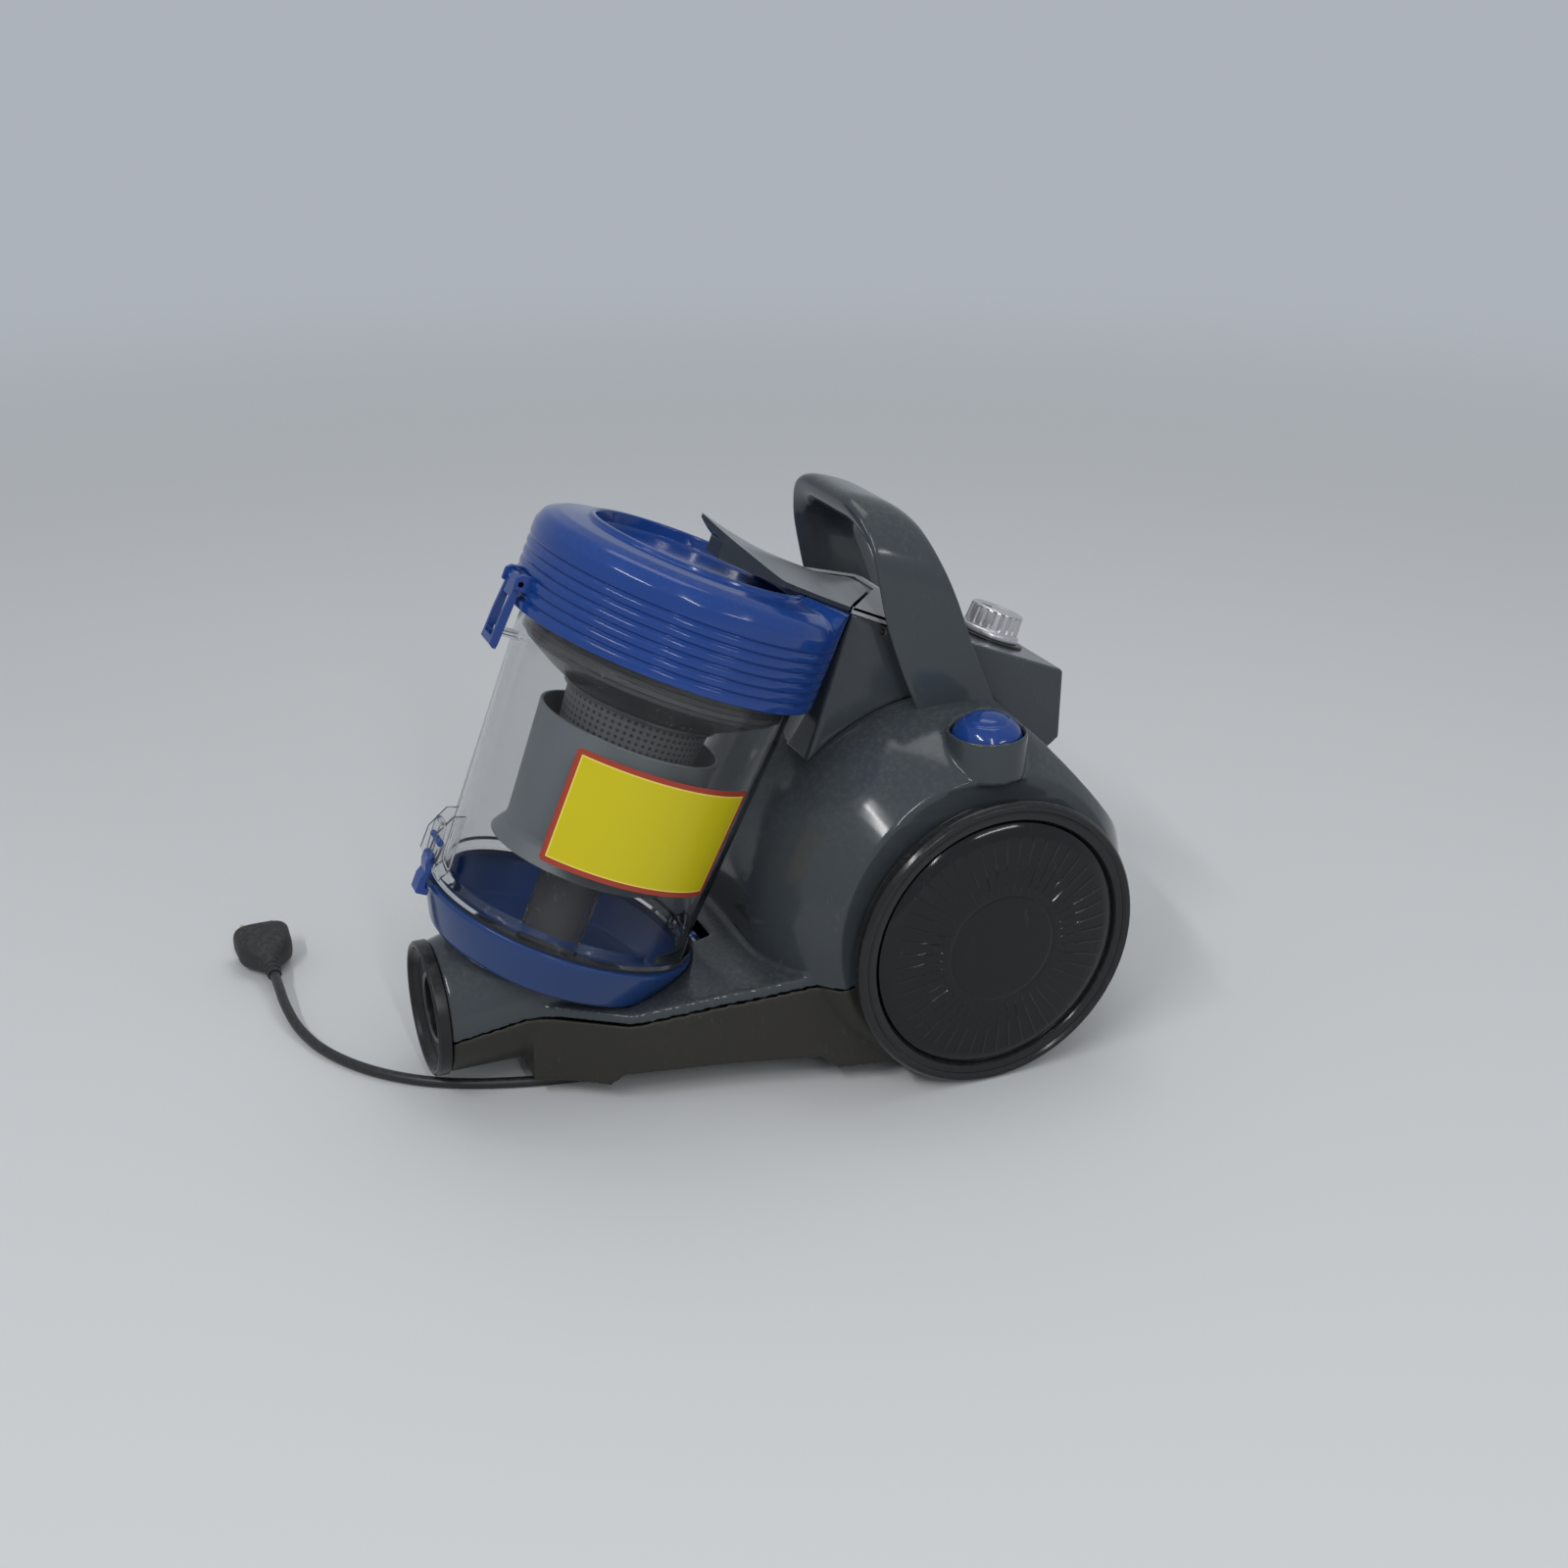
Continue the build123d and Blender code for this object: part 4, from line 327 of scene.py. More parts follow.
@dataclass(frozen=True)
class Finish:
    """A solid finish: plastic, rubber or metal with grain, scuffs and a little dust."""

    name: str
    colour: tuple[float, float, float]
    roughness: float = 0.3
    metallic: float = 0.0
    coat: float = 0.0
    grain: float = 900.0
    relief: float = 0.03
    wear: float = 0.4
    dust: float = 0.08
    shade: float = 0.12
    shine: float = 0.5

    def material(self) -> bpy.types.Material:
        """The finish as a material, built at its first use.

        Returns:
            The material with its node tree.
        """
        ready = bpy.data.materials.get(self.name)
        if ready is not None:
            return ready
        made, tree, surface = fresh_material(self.name)
        surface.inputs["Metallic"].default_value = self.metallic
        surface.inputs["Coat Weight"].default_value = self.coat
        surface.inputs["Coat Roughness"].default_value = 0.04
        surface.inputs["Specular IOR Level"].default_value = self.shine
        grain = self._group(made, Effect.GRAIN, {"Scale": self.grain})
        wear = self._group(made, Effect.WEAR, {"Amount": self.wear})
        dust = self._group(made, Effect.DUST, {"Amount": self.dust})
        tone = ColourMix(made, self._scaled(1.0 - self.shade), self._scaled(1.0 + self.shade))
        scuffed = ColourMix(made, None, self._lifted(SCUFF_LIFT))
        dusty = ColourMix(made, None, DUST_COLOUR)
        rough = add_node(
            tree, "ShaderNodeMath", {1: 0.22, 2: self.roughness}, operation="MULTIPLY_ADD"
        )
        bump = add_node(tree, "ShaderNodeBump", {"Strength": self.relief, "Distance": 0.0006})
        wire(
            tree,
            (grain, "Variation", tone, "Factor"),
            (tone, "Result", scuffed, "A"),
            (wear, "Mask", scuffed, "Factor"),
            (scuffed, "Result", dusty, "A"),
            (dust, "Mask", dusty, "Factor"),
            (dusty, "Result", surface, "Base Color"),
            (wear, "Mask", rough, 0),
            (rough, 0, surface, "Roughness"),
            (grain, "Height", bump, "Height"),
            (bump, "Normal", surface, "Normal"),
        )
        return made

    def _scaled(self, factor: float) -> tuple[float, float, float, float]:
        """The base colour times a factor."""
        return tuple(min(1.0, part * factor) for part in self.colour) + (1.0,)

    def _lifted(self, lift: float) -> tuple[float, float, float, float]:
        """The base colour with a little grey added."""
        return tuple(min(1.0, part + lift) for part in self.colour) + (1.0,)

    @staticmethod
    def _group(
        made: bpy.types.Material, effect: Effect, values: dict[str, float]
    ) -> bpy.types.Node:
        """Places a shared effect in a material.

        Args:
            made: the material.
            effect: which effect.
            values: its inputs by name.

        Returns:
            The group node.
        """
        node = made.node_tree.nodes.new("ShaderNodeGroup")
        node.node_tree = Effects.get(effect)
        for key, value in values.items():
            node.inputs[key].default_value = value
        return node


class ColourMix:
    """A Mix node in colour mode, with its sockets found by name."""

    def __init__(
        self,
        made: bpy.types.Material,
        low: tuple[float, float, float, float] | None,
        high: tuple[float, float, float, float],
    ) -> None:
        """Adds the node to a material.

        Args:
            made: the material that gets the node.
            low: the colour at factor 0, or None where one is linked.
            high: the colour at factor 1.
        """
        self.node = made.node_tree.nodes.new("ShaderNodeMix")
        self.node.data_type = "RGBA"
        sockets = [s for s in self.node.inputs if s.type == "RGBA"]
        self.inputs = {"Factor": self.node.inputs[0], "A": sockets[0], "B": sockets[1]}
        self.outputs = {"Result": [s for s in self.node.outputs if s.type == "RGBA"][0]}
        if low is not None:
            self.inputs["A"].default_value = low
        self.inputs["B"].default_value = high


@dataclass(frozen=True)
class ClearFinish:
    """Clear moulded plastic that lets light and shadow rays through."""

    name: str
    tint: tuple[float, float, float] = (0.86, 0.865, 0.87)
    roughness: float = 0.03
    bending: float = 1.22

    def material(self) -> bpy.types.Material:
        """The finish as a material, built at its first use.

        Returns:
            The material.
        """
        ready = bpy.data.materials.get(self.name)
        if ready is not None:
            return ready
        made, tree, surface = fresh_material(self.name)
        surface.inputs["Base Color"].default_value = self.tint + (1.0,)
        surface.inputs["Metallic"].default_value = 0.0
        surface.inputs["Transmission Weight"].default_value = 1.0
        surface.inputs["IOR"].default_value = self.bending
        wear = Finish._group(made, Effect.WEAR, {"Amount": 0.5, "Scale": 90.0})
        rough = add_node(
            tree, "ShaderNodeMath", {1: 0.25, 2: self.roughness}, operation="MULTIPLY_ADD"
        )
        passing = add_node(tree, "ShaderNodeBsdfTransparent", {"Color": self.tint + (1.0,)})
        path = add_node(tree, "ShaderNodeLightPath")
        choose = add_node(tree, "ShaderNodeMixShader")
        wire(
            tree,
            (wear, "Mask", rough, 0),
            (rough, 0, surface, "Roughness"),
            (path, "Is Shadow Ray", choose, "Fac"),
            (surface, "BSDF", choose, 1),
            (passing, "BSDF", choose, 2),
            (choose, "Shader", tree.nodes["Material Output"], "Surface"),
        )
        return made


@dataclass(frozen=True)
class DottedFinish:
    """Dark plastic with rows of small round holes about the cup's axis."""

    name: str
    colour: tuple[float, float, float]
    hole: tuple[float, float, float] = (0.012, 0.012, 0.013)
    pitch: float = 0.0038
    count: int = 64

    def material(self) -> bpy.types.Material:
        """The finish as a material, built at its first use.

        Returns:
            The material.
        """
        ready = bpy.data.materials.get(self.name)
        if ready is not None:
            return ready
        made, tree, surface = fresh_material(self.name)
        surface.inputs["Roughness"].default_value = 0.45
        place = add_node(tree, "ShaderNodeTexCoord")
        shift = add_node(tree, "ShaderNodeVectorMath", {1: CUP.origin}, operation="SUBTRACT")
        turn = add_node(tree, "ShaderNodeMapping", {"Rotation": (CUP_TILT, 0.0, 0.0)})
        split = add_node(tree, "ShaderNodeSeparateXYZ")
        angle = add_node(tree, "ShaderNodeMath", operation="ARCTAN2")
        per_turn = self.count / (2 * math.pi)
        around = add_node(tree, "ShaderNodeMath", {1: per_turn}, operation="MULTIPLY")
        along = add_node(tree, "ShaderNodeMath", {1: 1.0 / self.pitch}, operation="MULTIPLY")
        join = add_node(tree, "ShaderNodeCombineXYZ")
        even = {"Scale": 1.0, "Randomness": 0.0}
        dots = add_node(tree, "ShaderNodeTexVoronoi", even, voronoi_dimensions="2D")
        edge = add_node(tree, "ShaderNodeMapRange", {"From Min": 0.22, "From Max": 0.32})
        mix = ColourMix(made, self.hole + (1.0,), self.colour + (1.0,))
        bump = add_node(tree, "ShaderNodeBump", {"Strength": 0.25, "Distance": 0.0004})
        wire(
            tree,
            (place, "Object", shift, 0),
            (shift, "Vector", turn, "Vector"),
            (turn, "Vector", split, "Vector"),
            (split, "Y", angle, 0),
            (split, "X", angle, 1),
            (angle, 0, around, 0),
            (split, "Z", along, 0),
            (around, 0, join, "X"),
            (along, 0, join, "Y"),
            (join, "Vector", dots, "Vector"),
            (dots, "Distance", edge, "Value"),
            (edge, "Result", mix, "Factor"),
            (mix, "Result", surface, "Base Color"),
            (edge, "Result", bump, "Height"),
            (bump, "Normal", surface, "Normal"),
        )
        return made


@dataclass(frozen=True)
class Finishes:
    """Every finish of the machine, by what it is on."""

    casing: Finish = Finish("casing_grey", (0.045, 0.053, 0.061), 0.15, relief=0.015, shine=0.36)
    chassis: Finish = Finish(
        "chassis_dark", (0.026, 0.024, 0.021), 0.45, grain=1400.0, relief=0.12, shine=0.3
    )
    # Lever top: satin grey made much lighter than the casing, a painted sheen for the light its top catches
    satin: Finish = Finish("painted_sheen_grey", (0.235, 0.250, 0.270), 0.28, relief=0.04, shine=0.45)
    wheel: Finish = Finish("wheel_black", (0.010, 0.010, 0.011), 0.10, relief=0.01, dust=0.02, shine=0.3)
    tyre: Finish = Finish("tyre_black", (0.014, 0.014, 0.015), 0.18, relief=0.03, dust=0.04, shine=0.35)
    # Spine crest: the casing's grey plastic painted far lighter, a painted highlight for the light its top
    # facet catches
    painted_highlight: Finish = Finish("painted_highlight_grey", (0.330, 0.340, 0.360), 0.26, relief=0.03, shine=0.45)
    trim: Finish = Finish("trim_black", (0.012, 0.012, 0.013), 0.28, relief=0.04, shine=0.35)
    blue: Finish = Finish(
        "moulded_blue", (0.010, 0.045, 0.215), 0.13, relief=0.015, wear=0.25, dust=0.04, shine=0.42
    )
    door: Finish = Finish(
        "door_navy", (0.012, 0.040, 0.145), 0.16, relief=0.015, wear=0.25, dust=0.04, shine=0.42
    )
    insert: Finish = Finish("insert_grey", (0.018, 0.022, 0.027), 0.34, relief=0.04, shine=0.3)
    neck: Finish = Finish("neck_smoke", (0.050, 0.050, 0.052), 0.25, relief=0.03)
    silver: Finish = Finish(
        "knob_silver", (0.52, 0.52, 0.54), 0.26, metallic=0.6, grain=2200.0, relief=0.05, wear=0.2
    )
    steel: Finish = Finish("bright_steel", (0.55, 0.55, 0.56), 0.28, metallic=1.0, dust=0.0, relief=0.02)
    brass: Finish = Finish("pin_brass", (0.78, 0.64, 0.36), 0.25, metallic=1.0, dust=0.0, relief=0.02)
    rubber: Finish = Finish("soft_rubber", (0.016, 0.016, 0.016), 0.62, grain=1600.0, relief=0.15)
    cord: Finish = Finish("cord_black", (0.013, 0.013, 0.014), 0.42, grain=1800.0, relief=0.08)
    foam: Finish = Finish("open_foam", (0.10, 0.10, 0.10), 0.95, grain=700.0, relief=0.9, wear=0.0)
    board: Finish = Finish("board_green", (0.02, 0.13, 0.05), 0.35)
    inner: Finish = Finish("inner_grey", (0.32, 0.32, 0.31), 0.45, relief=0.08)
    label: Finish = Finish(
        "label_yellow", (0.560, 0.480, 0.008), 0.34, wear=0.15, relief=0.01, shade=0.03, shine=0.3
    )
    border: Finish = Finish(
        "label_border", (0.330, 0.045, 0.026), 0.34, wear=0.15, relief=0.01, shade=0.03, shine=0.3
    )
    line: Finish = Finish(
        "label_line", (0.78, 0.60, 0.12), 0.34, wear=0.1, relief=0.01, shade=0.03, shine=0.3
    )
    clear: ClearFinish = ClearFinish("clear_cup")
    dots: DottedFinish = DottedFinish("mesh_dots", (0.080, 0.082, 0.086))


FINISH = Finishes()


# ------------------------------------------------------------------ mesh tools
def rounded(points: Sequence[Point], radii: Sequence[float], steps: int = 5) -> list[Point]:
    """Rounds the inner corners of an open profile.

    Args:
        points: corners in millimetres.
        radii: one radius for each corner; 0 leaves it sharp.
        steps: points on each arc, less one.

    Returns:
        The profile with its arcs.
    """
    done: list[Point] = [points[0]]
    for i in range(1, len(points) - 1):
        here = Vector(points[i])
        back = Vector(points[i - 1]) - here
        ahead = Vector(points[i + 1]) - here
        half = back.angle(ahead) / 2
        if radii[i] <= 0 or half > math.radians(88):
            done.append(tuple(here))
            continue
        room = 0.48 * min(back.length, ahead.length)
        run = min(radii[i] / math.tan(half), room)
        radius = run * math.tan(half)
        first = here + back.normalized() * run
        last = here + ahead.normalized() * run
        toward = (back.normalized() + ahead.normalized()).normalized()
        middle = here + toward * math.hypot(run, radius)
        start = math.atan2(first.y - middle.y, first.x - middle.x)
        sweep = math.atan2(last.y - middle.y, last.x - middle.x) - start
        sweep = (sweep + math.pi) % (2 * math.pi) - math.pi
        for k in range(steps + 1):
            angle = start + sweep * k / steps
            done.append((middle.x + radius * math.cos(angle), middle.y + radius * math.sin(angle)))
    done.append(points[-1])
    return done


COIL_STEPS = 28  # sections in one turn of a coil
WIRE_SIDES = 8


def squared(part: float, power: float) -> float:
    """A sine or cosine drawn out towards a square section; power 2 leaves it round."""
    return math.copysign(abs(part) ** (2 / power), part)


class Maker:
    """Turns mesh data into objects that ride on a body."""

    @staticmethod
    def finish_object(
        shape: bmesh.types.BMesh, name: str, materials: Sequence[bpy.types.Material], sharp: float = 35.0
    ) -> bpy.types.Object:
        """Makes an object from a bmesh, smooth but for its sharp edges.

        Args:
            shape: the mesh, which is freed.
            name: the object's name.
            materials: its material slots.
            sharp: angle in degrees from which an edge stays sharp.

        Returns:
            The new object.
        """
        bmesh.ops.remove_doubles(shape, verts=shape.verts, dist=1e-6)
        bmesh.ops.recalc_face_normals(shape, faces=shape.faces)
        mesh = bpy.data.meshes.new(name)
        shape.to_mesh(mesh)
        shape.free()
        mesh.shade_smooth()
        mesh.set_sharp_from_angle(angle=math.radians(sharp))
        for material in materials:
            mesh.materials.append(material)
        return placed(name, mesh)

    @staticmethod
    def stitch(
        shape: bmesh.types.BMesh,
        rings: Sequence[Sequence[bmesh.types.BMVert]],
        slot: Callable[[int, int], int] | None = None,
    ) -> None:
        """Joins each ring of points to the next one with four-sided faces.

        Args:
            shape: the mesh that gets the faces.
            rings: closed rings, all with the same number of points.
            slot: gives a face's material slot from its row and its place in the ring.
        """
        for row, (low, high) in enumerate(zip(rings, rings[1:])):
            count = len(low)
            for k in range(count):
                after = (k + 1) % count
                face = shape.faces.new((low[k], low[after], high[after], high[k]))
                if slot:
                    face.material_index = slot(row, k)

    @staticmethod
    def tube(shape: bmesh.types.BMesh, rings: Sequence[Sequence[bmesh.types.BMVert]]) -> None:
        """Joins rings of points and closes both ends.

        Args:
            shape: the mesh that gets the faces.
            rings: closed rings, all with the same number of points.
        """
        Maker.stitch(shape, rings)
        shape.faces.new(rings[0])
        shape.faces.new(rings[-1])

    @staticmethod
    def lathe(
        place: Place,
        profile: Sequence[Point],
        segments: int = 128,
        bend: Callable[[float, float, float], Point] | None = None,
        closed: bool = True,
        bent: int = 10000,
    ) -> bmesh.types.BMesh:
        """A body turned about a place's axis.

        Args:
            place: its directions.
            profile: (radius, height) in millimetres.
            segments: faces around.
            bend: gives a new radius and height from (radius, angle, height), for ribs and flutes.
            closed: joins the profile's last point to its first.
            bent: how many of the profile's first points the bend changes.

        Returns:
            The mesh.
        """
        shape = bmesh.new()
        rings = []
        for index, (radius, height) in enumerate(profile):
            ring = []
            for k in range(segments):
                angle = 2 * math.pi * k / segments
                out, up = radius, height
                if bend and index < bent:
                    out, up = bend(radius, angle, height)
                ring.append(shape.verts.new(place.round(out * MM, angle, up * MM)))
            rings.append(ring)
        Maker.stitch(shape, rings + rings[:1] if closed else rings)
        return shape

    @staticmethod
    def prism(
        place: Place, outline: Sequence[Point], low: float, high: float, into: bmesh.types.BMesh
    ) -> None:
        """Adds a straight prism to a mesh.

        Args:
            place: outline x runs along its second direction, y along its axis, depth along its first.
            outline: corners in millimetres.
            low: start of the depth in millimetres.
            high: end of the depth in millimetres.
            into: the mesh that gets it.
        """
        near = [into.verts.new(place.at(low * MM, a * MM, b * MM)) for a, b in outline]
        far = [into.verts.new(place.at(high * MM, a * MM, b * MM)) for a, b in outline]
        into.faces.new(near)
        into.faces.new(list(reversed(far)))
        count = len(outline)
        for k in range(count):
            after = (k + 1) % count
            into.faces.new((near[k], far[k], far[after], near[after]))

    @staticmethod
    def coil(
        place: Place, radius: float, thick: float, low: float, high: float, turns: float
    ) -> bmesh.types.BMesh:
        """A helical wire about a place's axis.

        Args:
            place: its frame.
            radius: of the helix, in millimetres.
            thick: radius of the wire.
            low: height of the wire's middle at the lower end.
            high: height of the wire's middle at the upper end.
            turns: how often it goes round.

        Returns:
            The mesh.
        """
        shape = bmesh.new()
        steps = int(turns * COIL_STEPS)
        rings = []
        for i in range(steps + 1):
            share = i / steps
            angle = 2 * math.pi * turns * share
            height = low + (high - low) * share
            ring = []
            for k in range(WIRE_SIDES):
                way = 2 * math.pi * k / WIRE_SIDES
                out, up = radius + thick * math.cos(way), height + thick * math.sin(way)
                ring.append(shape.verts.new(place.round(out * MM, angle, up * MM)))
            rings.append(ring)
        Maker.tube(shape, rings)
        return shape

    @staticmethod
    def bevel(piece: bpy.types.Object, width: float, segments: int = 3) -> None:
        """Rounds the sharp edges of a piece.

        Args:
            piece: the piece to round.
            width: width of the rounding, in millimetres.
            segments: flats that make up the rounding.
        """
        edge = piece.modifiers.new("soft_edges", "BEVEL")
        edge.width = width * MM
        edge.segments = segments
        edge.limit_method = "ANGLE"
        edge.angle_limit = math.radians(40)
        edge.harden_normals = True

    @staticmethod
    def seat(piece: bpy.types.Object, body: str, slot: str, *nodes: str) -> bpy.types.Object:
        """Puts a piece on its body and hides the CAD nodes it stands for.

        Args:
            piece: the piece to put down.
            body: the body that carries it.
            slot: its finish slot in the record; not used.
            nodes: the CAD nodes it stands for.

        Returns:
            The same piece.
        """
        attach(piece, body)
        if nodes:
            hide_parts(*nodes)
        log.info("%s rides on %s", piece.name, body)
        return piece


def soften(node: str, voxel: float, rounds: int, finish: Finish) -> None:
    """Gives a CAD node the soft edges and blends of a moulding.

    Args:
        node: the node's name.
        voxel: size of the remeshed cells in millimetres.
        rounds: how many times the surface is smoothed.
        finish: its finish.
    """
    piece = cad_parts[node]
    cells = piece.modifiers.new("even_cells", "REMESH")
    cells.mode = "VOXEL"
    cells.voxel_size = voxel * MM
    cells.use_smooth_shade = True
    smooth = piece.modifiers.new("soft_edges", "SMOOTH")
    smooth.factor = 0.5
    smooth.iterations = rounds
    dress(node, finish)


def dress(node: str, finish: Finish | ClearFinish | DottedFinish) -> None:
    """Gives a CAD node a finish, on all of its material slots.

    Args:
        node: the CAD node's name.
        finish: the finish it gets.
    """
    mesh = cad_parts[node].data
    material = finish.material()
    if not mesh.materials:
        mesh.materials.append(material)
    for k in range(len(mesh.materials)):
        mesh.materials[k] = material
    log.info("%s dressed in %s", node, finish.name)


# ------------------------------------------------------------------ studio
@dataclass
class Studio:
    """Camera, lamps, floor and pale surroundings."""

    lens: float = 42.72
    camera_at: tuple[float, float, float] = (0.9562, -0.4015, 0.6061)
    look_at: tuple[float, float, float] = (0.0002, 0.0116, 0.1547)
    roll: float = -0.3
    pale: tuple[float, float, float] = (0.42, 0.45, 0.49)
    floor_half: float = 30.0
    floor_drop: float = 0.0002
    fade_from: float = 0.7
    fade_to: float = 3.2

    def camera(self) -> None:
        """Sets up the scene's camera."""
        data = bpy.data.cameras.new("camera")
        data.lens = self.lens
        data.sensor_width = 36.0
        data.clip_start = 0.01
        made = placed("camera", data)
        aim = Vector(self.look_at) - Vector(self.camera_at)
        turn = aim.to_track_quat("-Z", "Y").to_matrix()
        twist = Matrix.Rotation(math.radians(self.roll), 3, aim.normalized())
        made.matrix_world = Matrix.Translation(self.camera_at) @ (twist @ turn).to_4x4()
        bpy.context.scene.camera = made

    def lamp(
        self,
        name: str,
        at: tuple[float, float, float],
        size: tuple[float, float],
        power: float,
        twist: float = 0.0,
    ) -> None:
        """A soft rectangular lamp aimed at the machine.

        Args:
            name: its name.
            at: where it hangs, in metres.
            size: width and height in metres.
            power: watts.
            twist: turn about its beam, in degrees.
        """
        data = bpy.data.lights.new(name, "AREA")
        data.shape = "RECTANGLE"
        data.size, data.size_y = size
        data.energy = power
        made = placed(name, data)
        aim = Vector((0.0, 0.0, 0.15)) - Vector(at)
        turned = Matrix.Rotation(math.radians(twist), 3, aim.normalized())
        turn = turned @ aim.to_track_quat("-Z", "Y").to_matrix()
        made.matrix_world = Matrix.Translation(at) @ turn.to_4x4()

    def lamps(self) -> None:
        """Hangs the lamps."""
        self.lamp("key_lamp", (0.98, -1.40, 1.85), (0.09, 1.2), 17.0, -55.0)
        self.lamp("side_lamp", (1.9, -0.25, 1.35), (0.08, 1.0), 8.0)
        self.lamp("fill_lamp", (1.9, 0.95, 1.05), (0.8, 0.07), 4.0)
        self.lamp("top_lamp", (-0.3, 0.4, 2.2), (1.4, 1.0), 9.0)

    def world(self) -> None:
        """Pale grey surroundings to the camera and in reflections, and their soft light."""
        world = bpy.data.worlds.new("studio")
        bpy.context.scene.world = world
        world.use_nodes = True
        tree = world.node_tree
        tree.nodes.clear()
        out = add_node(tree, "ShaderNodeOutputWorld")
        glow = {"Color": (0.90, 0.95, 1.0, 1.0), "Strength": 0.46}
        light = add_node(tree, "ShaderNodeBackground", glow)
        seen = add_node(tree, "ShaderNodeBackground", {"Color": self.pale + (1.0,)})
        path = add_node(tree, "ShaderNodeLightPath")
        some = add_node(tree, "ShaderNodeMath", operation="MAXIMUM")
        more = add_node(tree, "ShaderNodeMath", operation="MAXIMUM")
        mix = add_node(tree, "ShaderNodeMixShader")
        wire(
            tree,
            (path, "Is Camera Ray", some, 0),
            (path, "Is Transmission Ray", some, 1),
            (some, 0, more, 0),
            (path, "Is Glossy Ray", more, 1),
            (more, 0, mix, "Fac"),
            (light, 0, mix, 1),
            (seen, 0, mix, 2),
            (mix, 0, out, "Surface"),
        )

    def floor(self) -> None:
        """A wide pale floor just under the machine."""
        shape = bmesh.new()
        bmesh.ops.create_grid(shape, x_segments=1, y_segments=1, size=self.floor_half)
        made = Maker.finish_object(shape, "floor", [self.floor_material()])
        made.location.z = -self.floor_drop

    def floor_material(self) -> bpy.types.Material:
        """Pale floor that keeps shadows near the machine and fades out far away.

        Returns:
            The material.
        """
        material, tree, surface = fresh_material("pale_floor")
        surface.inputs["Base Color"].default_value = (0.62, 0.63, 0.64, 1.0)
        surface.inputs["Roughness"].default_value = 0.7
        surface.inputs["Specular IOR Level"].default_value = 0.1
        far = add_node(tree, "ShaderNodeEmission", {"Color": self.pale + (1.0,)})
        place = add_node(tree, "ShaderNodeTexCoord")
        reach = add_node(tree, "ShaderNodeVectorMath", operation="LENGTH")
        span = {"From Min": self.fade_from, "From Max": self.fade_to}
        fade = add_node(tree, "ShaderNodeMapRange", span, interpolation_type="SMOOTHSTEP")
        mix = add_node(tree, "ShaderNodeMixShader")
        wire(
            tree,
            (place, "Object", reach, 0),
            (reach, "Value", fade, "Value"),
            (fade, "Result", mix, "Fac"),
            (surface, "BSDF", mix, 1),
            (far, 0, mix, 2),
            (mix, "Shader", tree.nodes["Material Output"], "Surface"),
        )
        return material

    def build(self) -> None:
        """Everything but the camera."""
        self.world()
        self.floor()
        self.lamps()
        scene = bpy.context.scene
        scene.view_settings.view_transform = "Standard"


